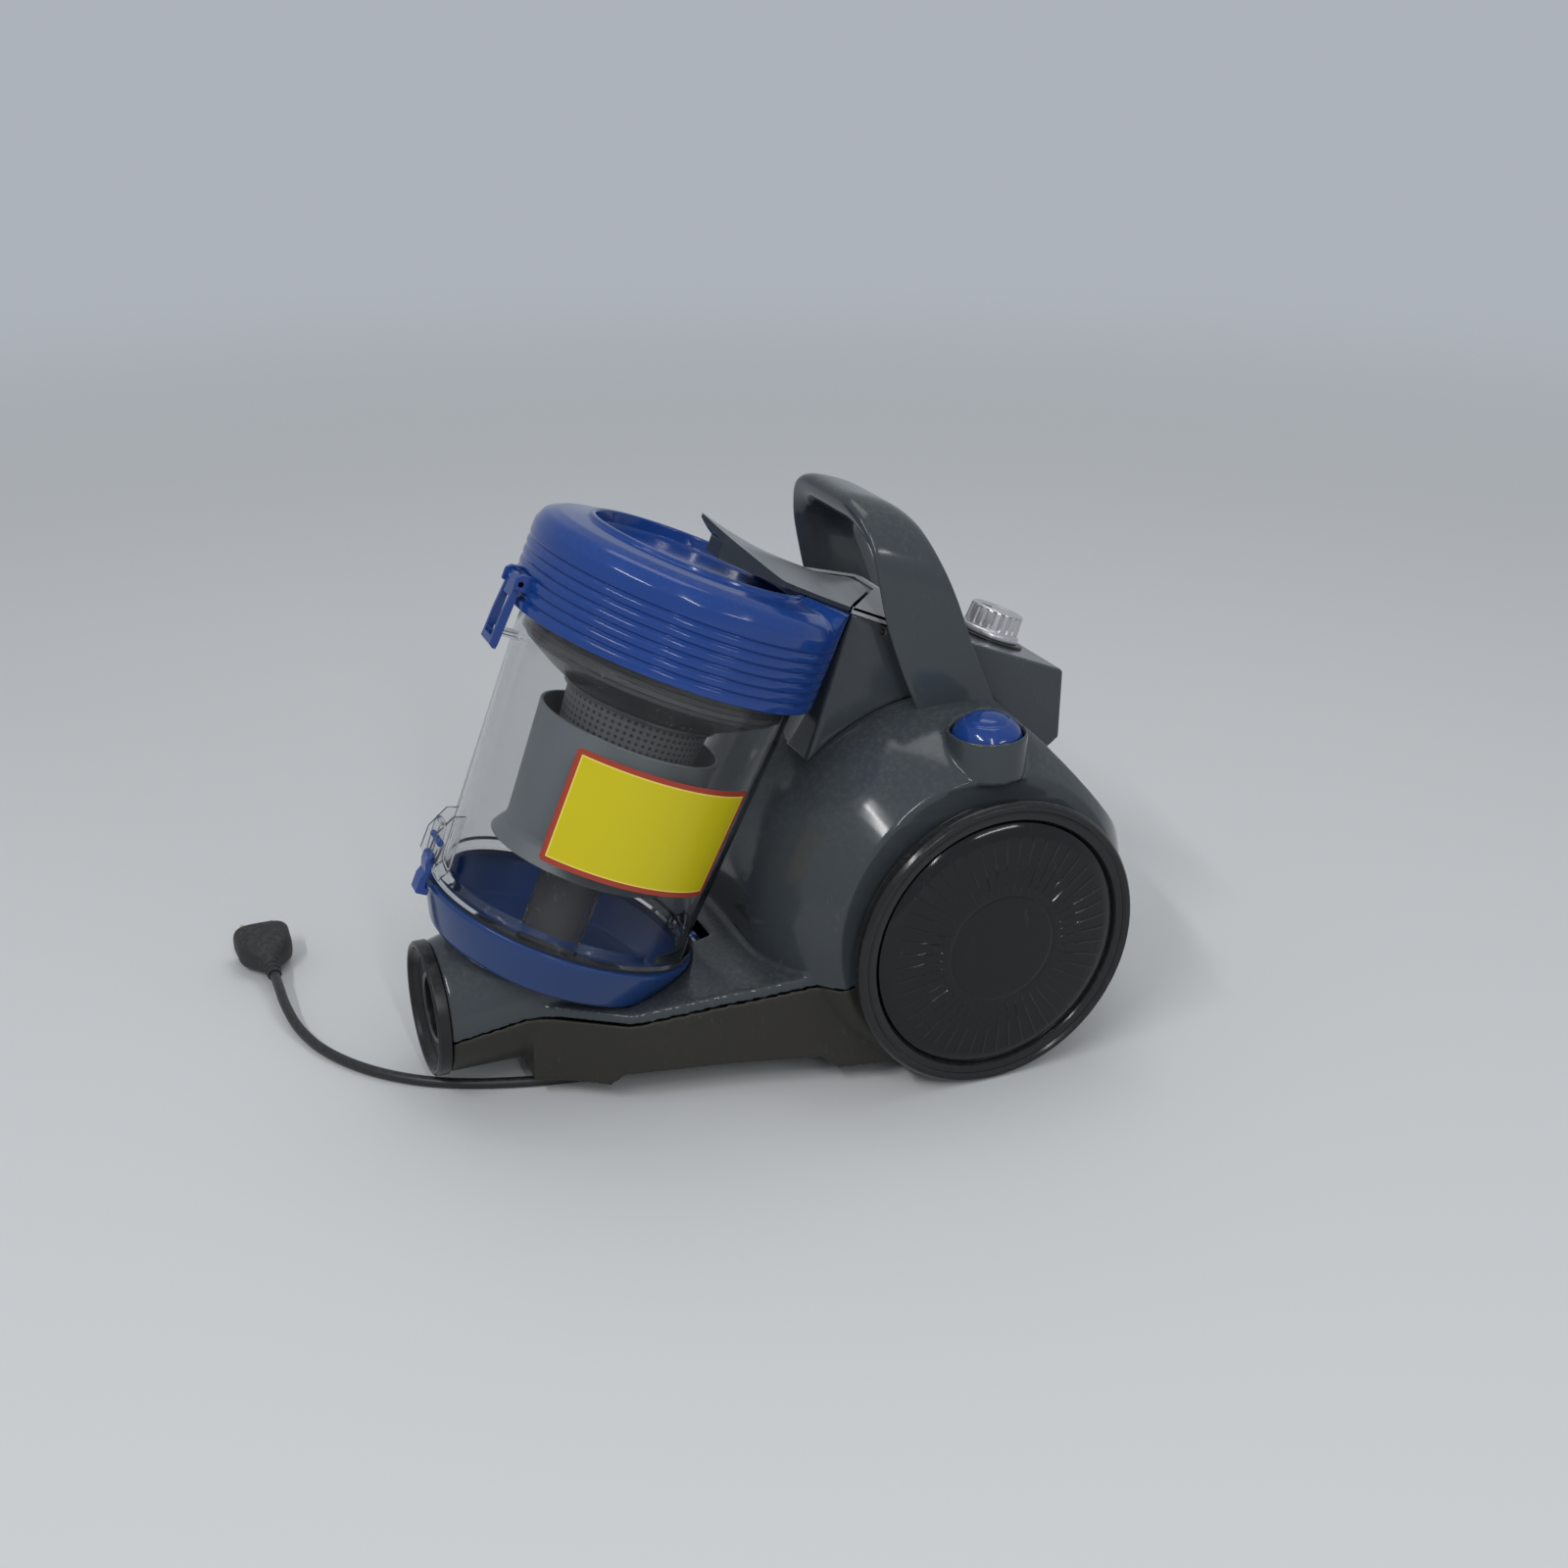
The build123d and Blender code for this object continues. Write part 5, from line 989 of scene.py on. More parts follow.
# ------------------------------------------------------------------ mains cord
@dataclass
class MainsCord:
    """The cord from the chassis to its plug, lying on the floor."""

    radius: float = 0.0032
    length: float = 0.795
    plug_sides: int = 64
    route: list[tuple[float, float, float]] = field(
        default_factory=lambda: [
            (-77.5, 218.0, 30.0), (-77.5, 236.0, 30.0), (-77.0, 259.0, 18.0), (-56.0, 281.0, 6.5),
            (-23.0, 281.0, 3.4), (0.0, 258.0, 3.4), (3.0, 224.0, 3.4), (11.0, 163.0, 3.4),
            (28.0, 100.0, 3.4), (28.0, 45.0, 3.4), (36.0, -10.0, 3.4), (35.0, -65.0, 3.4),
            (40.0, -115.0, 3.4), (31.0, -165.0, 3.4), (13.0, -213.0, 3.4), (-14.0, -247.0, 3.4),
            (-48.0, -270.0, 3.4), (-80.0, -281.0, 4.5), (-106.0, -285.0, 10.0),
            (-126.0, -285.0, 12.5), (-142.0, -285.0, 12.5),
        ]
    )

    def line(self) -> bpy.types.Object:
        """The cord itself, one smooth curve with a round section.

        Returns:
            The curve object.
        """
        data = bpy.data.curves.new("mains_cord_line", "CURVE")
        data.dimensions = "3D"
        data.resolution_u = 10
        data.bevel_depth = self.radius
        data.bevel_resolution = 6
        data.use_fill_caps = True
        spline = data.splines.new("NURBS")
        spline.points.add(len(self.route) - 1)
        for point, at in zip(spline.points, self.route):
            point.co = (at[0] * MM, at[1] * MM, at[2] * MM, 1.0)
        spline.order_u = 3
        spline.use_endpoint_u = True
        data.materials.append(FINISH.cord.material())
        return placed("mains_cord_line", data)

    def relief(self) -> bpy.types.Object:
        """The ribbed, tapered strain relief at the chassis.

        Returns:
            The finished piece.
        """
        place = Place(
            Vector((-0.0775, 0.192, 0.030)), Vector((1, 0, 0)), Vector((0, 0, 1)), Vector((0, 1, 0))
        )
        outer = [(8.4, 0.4), (8.4, 2.6), (6.3, 3.0)]
        for k in range(5):
            start = 4.0 + 4.2 * k
            size = 6.0 - 0.34 * k
            for less, on in ((0, 0), (0.2, 2.6), (1.2, 2.9), (1.3, 3.7)):
                outer.append((size - less, start + on))
        outer += [(4.5, 24.6), (4.4, 25.9), (3.25, 25.95)]
        profile = rounded(outer, [0.35] * len(outer), 3) + [(3.25, 0.4)]
        return Maker.finish_object(
            Maker.lathe(place, profile, 48), "strain_relief", [FINISH.rubber.material()]
        )

    def plug(self) -> bpy.types.Object:
        """The moulded plug body with its ribbed neck.

        Returns:
            The finished piece.
        """
        place = Place(
            Vector((-0.142, -0.285, 0.0125)), Vector((0, 1, 0)), Vector((0, 0, 1)), Vector((-1, 0, 0))
        )
        shape = bmesh.new()
        rings = []
        sections = [
            (0.0, 4.2, 4.2), (1.0, 4.6, 4.6), (3.0, 4.8, 4.8), (3.4, 4.1, 4.1), (5.0, 4.2, 4.2),
            (5.4, 5.0, 5.0), (8.0, 5.2, 5.2), (8.4, 4.5, 4.5), (10.0, 4.6, 4.6), (10.4, 5.5, 5.5),
            (13.0, 5.7, 5.7), (13.4, 5.0, 5.0), (15.0, 5.2, 5.2), (15.6, 6.2, 6.0), (19.0, 6.5, 6.3),
            (22.0, 9.0, 7.2), (27.0, 13.0, 9.0), (33.0, 16.6, 10.6), (38.0, 17.6, 11.2),
            (48.0, 18.0, 11.6), (54.0, 18.3, 11.8), (55.6, 17.9, 11.4), (56.0, 17.0, 10.6),
        ]
        for along, wide, high in sections:
            power = 2.0 if along < 19 else 2.0 + 1.4 * min(1.0, (along - 19) / 15)
            ring = []
            for k in range(self.plug_sides):
                angle = 2 * math.pi * k / self.plug_sides
                x = wide * squared(math.cos(angle), power)
                z = high * squared(math.sin(angle), power)
                ring.append(shape.verts.new(place.at(x * MM, z * MM, along * MM)))
            rings.append(ring)
        Maker.tube(shape, rings)
        return Maker.finish_object(shape, "plug_body", [FINISH.rubber.material()], 50.0)

    def build(self) -> None:
        line = self.line()
        relief = self.relief()
        plug = self.plug()
        Maker.seat(line, "body", "black_rubber", "mains_cord")
        Maker.seat(relief, "body", "black_rubber", "cord_bush")
        Maker.seat(plug, "body", "black_rubber", "mains_plug")
        dress("plug_pins", FINISH.brass)
        tuple(part * MM for part in self.route[0])


# ------------------------------------------------------------------ casing
@dataclass
class Casing:
    """Mouth ring, drum, deck, snout, chassis and spine."""

    def mouth(self) -> None:
        """The black ring round the hose mouth."""
        place = Place(
            Vector((0.0, 0.0, 0.049)), Vector((1, 0, 0)), Vector((0, 0, 1)), Vector((0, 1, 0))
        )
        outline = [
            (40.4, -211.4), (40.4, -217.6), (39.0, -219.0), (37.2, -218.6), (36.0, -216.0),
            (33.5, -213.2), (25.0, -212.4), (21.0, -213.8), (18.6, -213.2), (18.4, -208.4),
            (20.4, -208.2), (20.4, -211.2),
        ]
        shape = Maker.lathe(place, rounded(outline, [0.8] * len(outline)), 128)
        ring = Maker.finish_object(shape, "mouth_trim", [FINISH.trim.material()])
        Maker.seat(ring, "body", "black_trim", "mouth_ring")
        dress("hose_socket", FINISH.trim)

    def build(self) -> None:
        """Dresses and softens the casing's pieces."""
        soften("upper_housing", 1.3, 9, FINISH.casing)
        soften("lower_chassis", 1.5, 6, FINISH.chassis)
        soften("spine_housing", 1.2, 5, FINISH.casing)
        Handle().build()
        self.crest()
        self.mouth()
        for node in ("inlet_seal", "outlet_seal", "motor_mounts"):
            dress(node, FINISH.rubber)
        for node in ("housing_screws", "wheel_axles", "motor_can", "motor_rotor", "rewind_mainspring"):
            dress(node, FINISH.steel)
        for node in ("reel_bracket", "cord_reel", "brake_lever", "power_switch", "speed_control"):
            dress(node, FINISH.inner)
        dress("fan_wheel", FINISH.steel)
        dress("brake_pad", FINISH.rubber)
        dress("wound_cord", FINISH.cord)
        dress("circuit_board", FINISH.board)
        dress("exhaust_filter", FINISH.foam)
        soften("exhaust_grille", 0.9, 4, FINISH.trim)

    def crest(self) -> None:
        """The low crest of the spine that covers the lever's hinge."""
        shape = bmesh.new()
        steps = 8
        for sign in (1, -1):
            top, low = [], []
            for k in range(steps + 1):
                share = k / steps
                x = 45.0 - 31.0 * share
                front = 82.0 + 26.0 * share
                rear = 110.0 + 3.5 * share
                up = 229.9 + 10.9 * share
                for back in (front, front + (rear - front) * 0.5, rear):
                    top.append(shape.verts.new(CUP.at(sign * x * MM, back * MM, up * MM)))
                    low.append(shape.verts.new(CUP.at(sign * x * MM, back * MM, (up - 1.6) * MM)))
            for grid in (top, low):
                for k in range(steps):
                    for j in range(2):
                        i = 3 * k + j
                        shape.faces.new((grid[i], grid[i + 1], grid[i + 4], grid[i + 3]))
            border = [3 * k for k in range(steps + 1)] + [3 * steps + 1, 3 * steps + 2]
            border += [3 * k + 2 for k in range(steps - 1, -1, -1)] + [1]
            for i, j in zip(border, border[1:] + border[:1]):
                shape.faces.new((top[i], top[j], low[j], low[i]))
            edge = [(82.0, 229.9), (110.0, 229.9), (110.0, 226.2), (82.0, 226.2)]
            low_x, high_x = sorted((sign * 45.0, sign * 43.6))
            Maker.prism(CUP, edge, low_x, high_x, shape)
        bridge = [
            (108.0, 240.8), (113.5, 240.8), (113.5, 230.0), (112.0, 230.0), (112.0, 239.2), (108.0, 239.2),
        ]
        Maker.prism(CUP, bridge, -14.0, 14.0, shape)
        # The crest is casing plastic; its light grey is a painted highlight
        made = Maker.finish_object(shape, "spine_crest", [FINISH.painted_highlight.material()], 20.0)
        Maker.seat(made, "body", "grey_shell")


@dataclass
class Handle:
    """The carry handle: a rounded arch across the body, with legs that widen downward."""

    slope: float = math.radians(17.6)
    half: float = 60.0
    leg_t: float = 10.5
    top_t: float = 19.0
    corner: float = 38.0
    foot: float = -126.0
    lean: float = 0.145
    tuck: float = 16.0
    front: tuple[Point, ...] = (
        (2.0, 0.1), (-12.0, -9.6), (-24.0, -18.4), (-43.0, -30.2), (-61.0, -42.0), (-91.0, -65.0),
        (-117.0, -87.5), (-128.0, -97.0),
    )
    rear: tuple[Point, ...] = (
        (0.0, -44.3), (-8.0, -53.5), (-20.5, -64.4), (-45.7, -86.9), (-66.9, -103.4), (-93.0, -126.9),
        (-128.0, -158.0),
    )

    @staticmethod
    def along(line: tuple[Point, ...], height: float) -> float:
        """Depth of a side line at a height, straight from one point to the next.

        Args:
            line: the side line, as points of height and depth.
            height: the height looked up.

        Returns:
            The depth at that height.
        """
        if height >= line[0][0]:
            return line[0][1]
        for (h0, w0), (h1, w1) in zip(line, line[1:]):
            if height >= h1:
                share = (height - h0) / (h1 - h0)
                return w0 + (w1 - w0) * share
        return line[-1][1]

    def path(self) -> list[tuple[float, float, float, float, float]]:
        """Points of the arch's outer line.

        Returns:
            For each point x, height, the outward direction's two parts, and how far it is a leg.
        """
        radius = self.corner
        run = self.half - radius
        points = []
        for k in range(15):
            height = self.foot + (-radius - self.foot) * k / 15
            points.append((self.half, height, 1.0, 0.0, 1.0))
        for k in range(17):
            angle = math.pi / 2 * k / 16
            c, d = math.cos(angle), math.sin(angle)
            leg = (1.0 + math.cos(math.pi * k / 16)) / 2
            points.append((run + radius * c, radius * d - radius, c, d, leg))
        half = points + [(run * (1 - k / 6), 0.0, 0.0, 1.0, 0.0) for k in range(1, 7)]
        other = [(-x, h, -nx, nh, leg) for x, h, nx, nh, leg in reversed(half[:-1])]
        return half + other

    def build(self) -> None:
        """Makes the handle as one swept, rounded form."""
        place = Place(
            Vector((0.0, 0.031, 0.343)),
            Vector((1.0, 0.0, 0.0)),
            Vector((0.0, math.sin(self.slope), math.cos(self.slope))),
            Vector((0.0, -math.cos(self.slope), math.sin(self.slope))),
        )
        shape = bmesh.new()
        count = 56
        rings = []
        for x, height, nx, nh, leg in self.path():
            thick = (self.top_t + (self.leg_t - self.top_t) * leg) / 2
            power = 2.7 + 1.6 * leg
            ring = []
            for k in range(count):
                angle = 2 * math.pi * k / count
                out = thick * squared(math.cos(angle), power)
                side = squared(math.sin(angle), power)
                px, ph = x + (out - thick) * nx, height + (out - thick) * nh
                front, rear = self.along(self.front, ph), self.along(self.rear, ph)
                deep = (front + rear) / 2 + side * (front - rear) / 2
                if side > 0:
                    deep += self.lean * min(70.0, -ph) * leg * side * out / thick
                else:
                    deep += self.tuck * leg * side * side * (1.0 - out / thick) / 2
                ring.append(shape.verts.new(place.at(px * MM, ph * MM, deep * MM)))
            rings.append(ring)
        Maker.tube(shape, rings)
        made = Maker.finish_object(shape, "handle_arch", [FINISH.casing.material()], 60.0)
        calm = made.modifiers.new("soft_bends", "SMOOTH")
        calm.factor = 0.5
        calm.iterations = 4
        Maker.seat(made, "body", "grey_shell", "carry_handle")


# ------------------------------------------------------------------ wheels
@dataclass
class Wheel:
    """A rear wheel: domed disc with fine spokes, and its tyre."""

    sign: int
    name: str
    spokes: int = 48
    per_spoke: int = 10
    spoke_in: float = 36.0
    spoke_out: float = 71.0

    def disc(self) -> bpy.types.Object:
        """The domed disc with thin radial ribs and a groove round its middle.

        Returns:
            The finished piece.
        """
        place = wheel_place(self.sign)
        segments = self.spokes * self.per_spoke
        radii = [0.0, 6, 12, 18, 24, 29, 31.5, 32.6, 33.4, 34.2, 35.2, 36.4, 38, 41, 45, 50, 55, 60, 65]
        radii += [68, 70, 71, 72, 73.4, 74.4, 75.2, 76.0, 76.6, 77.0]

        def face(radius: float) -> float:
            """Height of the disc's face at a radius.

            Args:
                radius: distance from the wheel's axis, in millimetres.

            Returns:
                The height, in millimetres.
            """
            dome = 133.2 - 3.0 * (radius / 75.0) ** 2.2
            if radius > 68.0:
                dome -= 0.05 * (radius - 68.0) ** 1.8
            groove = 0.5 * math.exp(-(((radius - 33.6) / 0.9) ** 2))
            return dome - groove

        shape = bmesh.new()
        rings = []
        for radius in radii:
            ring = []
            for k in range(segments):
                angle = 2 * math.pi * k / segments
                lift = 0.0
                if self.spoke_in <= radius <= self.spoke_out:
                    ends = min(1.0, (radius - self.spoke_in) / 3.0, (self.spoke_out - radius) / 3.0)
                    lift = 0.42 * max(0.0, ends) if k % self.per_spoke == 0 else 0.0
                up = (face(radius) + lift) * MM
                ring.append(shape.verts.new(place.round(radius * MM, angle, up)))
            rings.append(ring)
        edge = [
            (77.0, 126.4), (77.0, 115.2), (74.4, 115.0), (74.4, 124.0), (40.0, 126.0), (12.0, 126.0),
            (12.0, 113.2), (6.3, 113.2),
        ]
        for radius, height in edge:
            ring = []
            for k in range(segments):
                angle = 2 * math.pi * k / segments
                ring.append(shape.verts.new(place.round(radius * MM, angle, height * MM)))
            rings.append(ring)
        Maker.stitch(shape, rings)
        return Maker.finish_object(shape, f"{self.name}_wheel_face", [FINISH.wheel.material()], 30.0)

    def tyre(self) -> bpy.types.Object:
        """The tyre with its rounded shoulder and inner step.

        Returns:
            The finished piece.
        """
        place = wheel_place(self.sign)
        outline = [
            (77.4, 125.6), (77.4, 113.1), (84.6, 113.1), (87.6, 117.6), (89.2, 120.8), (89.0, 121.3),
            (89.2, 122.1), (90.0, 122.9), (90.0, 127.6), (88.0, 130.4), (85.4, 130.2), (84.2, 128.9),
            (83.0, 129.4), (79.4, 128.6),
        ]
        profile = rounded(outline, [0, 0.3, 1.4, 1.8, 0.2, 0.2, 0.2, 0.8, 2.2, 1.4, 0.6, 0.3, 0.8, 1.6])
        shape = Maker.lathe(place, profile, 192)
        return Maker.finish_object(shape, f"{self.name}_tyre_ring", [FINISH.tyre.material()], 40.0)

    def build(self) -> None:
        """Makes both pieces and seats them on the wheel's body."""
        body = f"{self.name}_wheel"
        Maker.seat(self.disc(), body, "black_trim", f"{self.name}_wheel_disc")
        Maker.seat(self.tyre(), body, "tyre", f"{self.name}_tyre")


@dataclass
class Caster:
    """The small swivelling wheel under the snout."""

    def build(self) -> None:
        """Dresses its nodes."""
        dress("caster_fork", FINISH.chassis)
        dress("caster_wheel", FINISH.tyre)
        dress("caster_pin", FINISH.steel)
        for node in ("caster_fork", "caster_wheel"):
            Maker.bevel(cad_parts[node], 0.4, 2)


# ------------------------------------------------------------------ controls
@dataclass
class Controls:
    """Foot pedals, power knob and release lever."""

    knob_r: float = 17.5
    flutes: int = 20

    def pedal(self, name: str, sign: int) -> None:
        """A domed pedal.

        Args:
            name: power or rewind.
            sign: side of the machine, 1 for its left.
        """
        place = Place(
            Vector((sign * 0.095, 0.097, 0.0)), Vector((1, 0, 0)), Vector((0, 1, 0)), Vector((0, 0, 1))
        )
        turns = [math.pi / 2 * k / 40 for k in range(41)]
        crown = [(20.8 * math.sin(t), 206.2 + 16.7 * math.cos(t)) for t in turns]
        crown = [(r, min(z, 222.9) - 0.9 * math.exp(-(((r - 12.5) / 1.3) ** 2))) for r, z in crown]
        under = [
            (20.8, 203.1), (18.9, 203.1), (18.9, 205.2), (12.0, 214.0), (4.0, 216.5), (4.0, 170.6),
            (0.0, 170.6),
        ]
        shape = Maker.lathe(place, crown + under, 96, closed=False)
        made = Maker.finish_object(shape, f"{name}_pedal_cap", [FINISH.blue.material()], 40.0)
        Maker.seat(made, f"{name}_button", "blue_plastic", f"{name}_pedal")
        low = Maker.finish_object(
            Maker.coil(place, 8.7, 0.5, 174.9, 197.0, 4.0), f"{name}_spring_low", [FINISH.steel.material()]
        )
        Maker.seat(low, "body", "steel")
        top = Maker.finish_object(
            Maker.coil(place, 7.3, 0.5, 189.5, 213.4, 4.0), f"{name}_spring_top", [FINISH.steel.material()]
        )
        Maker.seat(top, f"{name}_button", "steel", f"{name}_pedal_spring")

    def knob(self) -> None:
        """The fluted power knob with its skirt and pointer."""
        count = self.flutes

        def flute(radius: float, angle: float, height: float) -> Point:
            """Pulls the radius in at each flute above the skirt.

            Args:
                radius: of the plain turned form.
                angle: about the knob's axis.
                height: along the knob's axis.

            Returns:
                The fluted radius and the height.
            """
            if radius < 13.0 or height < 6.4 or height > 17.6:
                return radius, height
            turn = (angle * count / (2 * math.pi)) % 1.0
            near = min(turn, 1.0 - turn) * 2 * math.pi * self.knob_r / count
            depth = max(0.0, 1.25 - 0.9 * near**2)
            ends = min(1.0, (height - 6.4) / 0.8, (17.6 - height) / 0.8)
            return radius - depth * max(0.0, ends), height

        outer = [(0, 1.95), (18.8, 1.95), (18.9, 2.2), (18.9, 4.4), (18.4, 5.2), (17.4, 5.8)]
        outer += [(17.3, 6.4), (17.25, 7.2), (17.1, 10.0), (16.9, 13.0), (16.75, 16.0), (16.7, 16.8)]
        outer += [(16.6, 17.6), (16.2, 18.3), (15.2, 18.8), (13.6, 18.85), (12.9, 18.5), (12.4, 18.1)]
        outer += [(8.0, 17.9), (0, 17.8)]
        shape = Maker.lathe(SPINE_TOP, outer, count * 12, flute, closed=False)
        made = Maker.finish_object(shape, "knob_cap", [FINISH.silver.material()], 35.0)
        Maker.seat(made, "knob", "silver_plastic", "power_knob")
        mark = bmesh.new()
        Maker.prism(SPINE_TOP, [(-12.6, 17.9), (-12.6, 18.9), (-5.0, 18.4), (-5.0, 17.9)], -0.7, 0.7, mark)
        pointer = Maker.finish_object(mark, "knob_pointer", [FINISH.trim.material()])
        Maker.bevel(pointer, 0.2, 2)
        Maker.seat(pointer, "knob", "black_trim")
        dress("knob_shaft", FINISH.steel)

    def dial(self) -> None:
        """The dark plate under the knob, with plain raised ticks."""
        outline = [(6.0, 0.05), (22.9, 0.05), (22.9, 1.1), (22.3, 1.55), (6.0, 1.55)]
        shape = Maker.lathe(SPINE_TOP, rounded(outline, [0, 0, 0.3, 0.3, 0]), 96)
        for k in range(9):
            angle = math.radians(-135 + 33.75 * k) - math.pi / 2
            along = Vector((math.cos(angle), math.sin(angle)))
            cross = Vector((-along.y, along.x))
            tick = ((20.2, -0.3), (22.0, -0.3), (22.0, 0.3), (20.2, 0.3))
            corners = [along * reach + cross * side for reach, side in tick]
            low = [shape.verts.new(SPINE_TOP.at(c.x * MM, c.y * MM, 1.5 * MM)) for c in corners]
            high = [shape.verts.new(SPINE_TOP.at(c.x * MM, c.y * MM, 1.72 * MM)) for c in corners]
            shape.faces.new(high)
            for i in range(4):
                shape.faces.new((low[i], low[(i + 1) % 4], high[(i + 1) % 4], high[i]))
        made = Maker.finish_object(shape, "dial_ring", [FINISH.trim.material()])
        Maker.seat(made, "body", "grey_satin", "dial_plate")

    def lever(self) -> None:
        """The release lever: a crowned leaf with side skirts, and its two hinge arms."""
        sections = [
            (-6.6, 0.7, 247.6, 247.2, 245.2), (-3.0, 3.0, 246.6, 245.8, 242.6),
            (2.0, 6.4, 245.2, 243.6, 239.6), (7.6, 10.0, 243.9, 241.4, 236.6),
            (8.2, 10.4, 243.7, 241.2, 226.6), (14.0, 14.2, 242.5, 239.0, 226.6),
            (22.0, 19.4, 240.9, 236.2, 226.6), (30.0, 24.2, 239.5, 233.4, 226.6),
            (38.0, 28.8, 238.4, 230.7, 226.6), (42.0, 31.0, 238.0, 229.7, 226.6),
            (50.0, 34.4, 237.4, 229.5, 226.6), (60.0, 38.4, 236.8, 229.4, 226.6),
            (70.0, 41.8, 236.3, 229.4, 226.6), (80.0, 44.2, 235.9, 229.4, 226.6),
            (86.0, 35.6, 236.2, 231.0, 227.6), (92.0, 28.5, 237.0, 233.0, 229.0),
            (98.0, 21.3, 238.0, 235.2, 231.0), (103.4, 14.8, 239.0, 237.6, 233.0),
        ]
        across = 16
        shape = bmesh.new()
        rings = []
        for back, half, middle, edge, low in sections:
            ring = []
            for k in range(across + 1):
                share = -1.0 + 2.0 * k / across
                up = edge + (middle - edge) * (1.0 - abs(share) ** 1.7)
                ring.append(shape.verts.new(CUP.at(share * half * MM, back * MM, up * MM)))
            for share in (1.0, 0.5, 0.0, -0.5, -1.0):
                inset = max(0.2, half - 0.9) * share
                ring.append(shape.verts.new(CUP.at(inset * MM, back * MM, low * MM)))
            rings.append(ring)
        Maker.stitch(shape, rings, lambda row, k: 0 if k < across else 1)
        shape.faces.new(rings[0])
        shape.faces.new(rings[-1])
        # Top faces (slot 0) get the lighter grey with its painted sheen; the skirts (slot 1) keep the darker
        # casing grey
        leaf = Maker.finish_object(
            shape, "lever_leaf", [FINISH.satin.material(), FINISH.casing.material()], 32.0
        )
        Maker.bevel(leaf, 0.5, 2)
        leaf.modifiers[-1].material = 0
        Maker.seat(leaf, "lever", "grey_satin", "release_lever")
        arms = bmesh.new()
        for low in (-38.0, 32.0):
            outline = [
                (78.0, 226.7), (104.2, 226.7), (104.2, 221.5), (105.0, 219.4), (107.0, 219.4),
                (107.8, 221.5), (107.8, 227.4), (84.0, 227.4), (80.0, 228.5), (78.0, 228.5),
            ]
            Maker.prism(CUP, outline, low, low + 6.0, arms)
        made = Maker.finish_object(arms, "lever_arms", [FINISH.casing.material()])
        Maker.seat(made, "lever", "grey_satin")

    def build(self) -> None:
        """Makes all the controls."""
        self.pedal("power", 1)
        self.pedal("rewind", -1)
        self.knob()
        self.dial()
        self.lever()
        dress("lever_pin", FINISH.steel)
        dress("lever_spring", FINISH.steel)


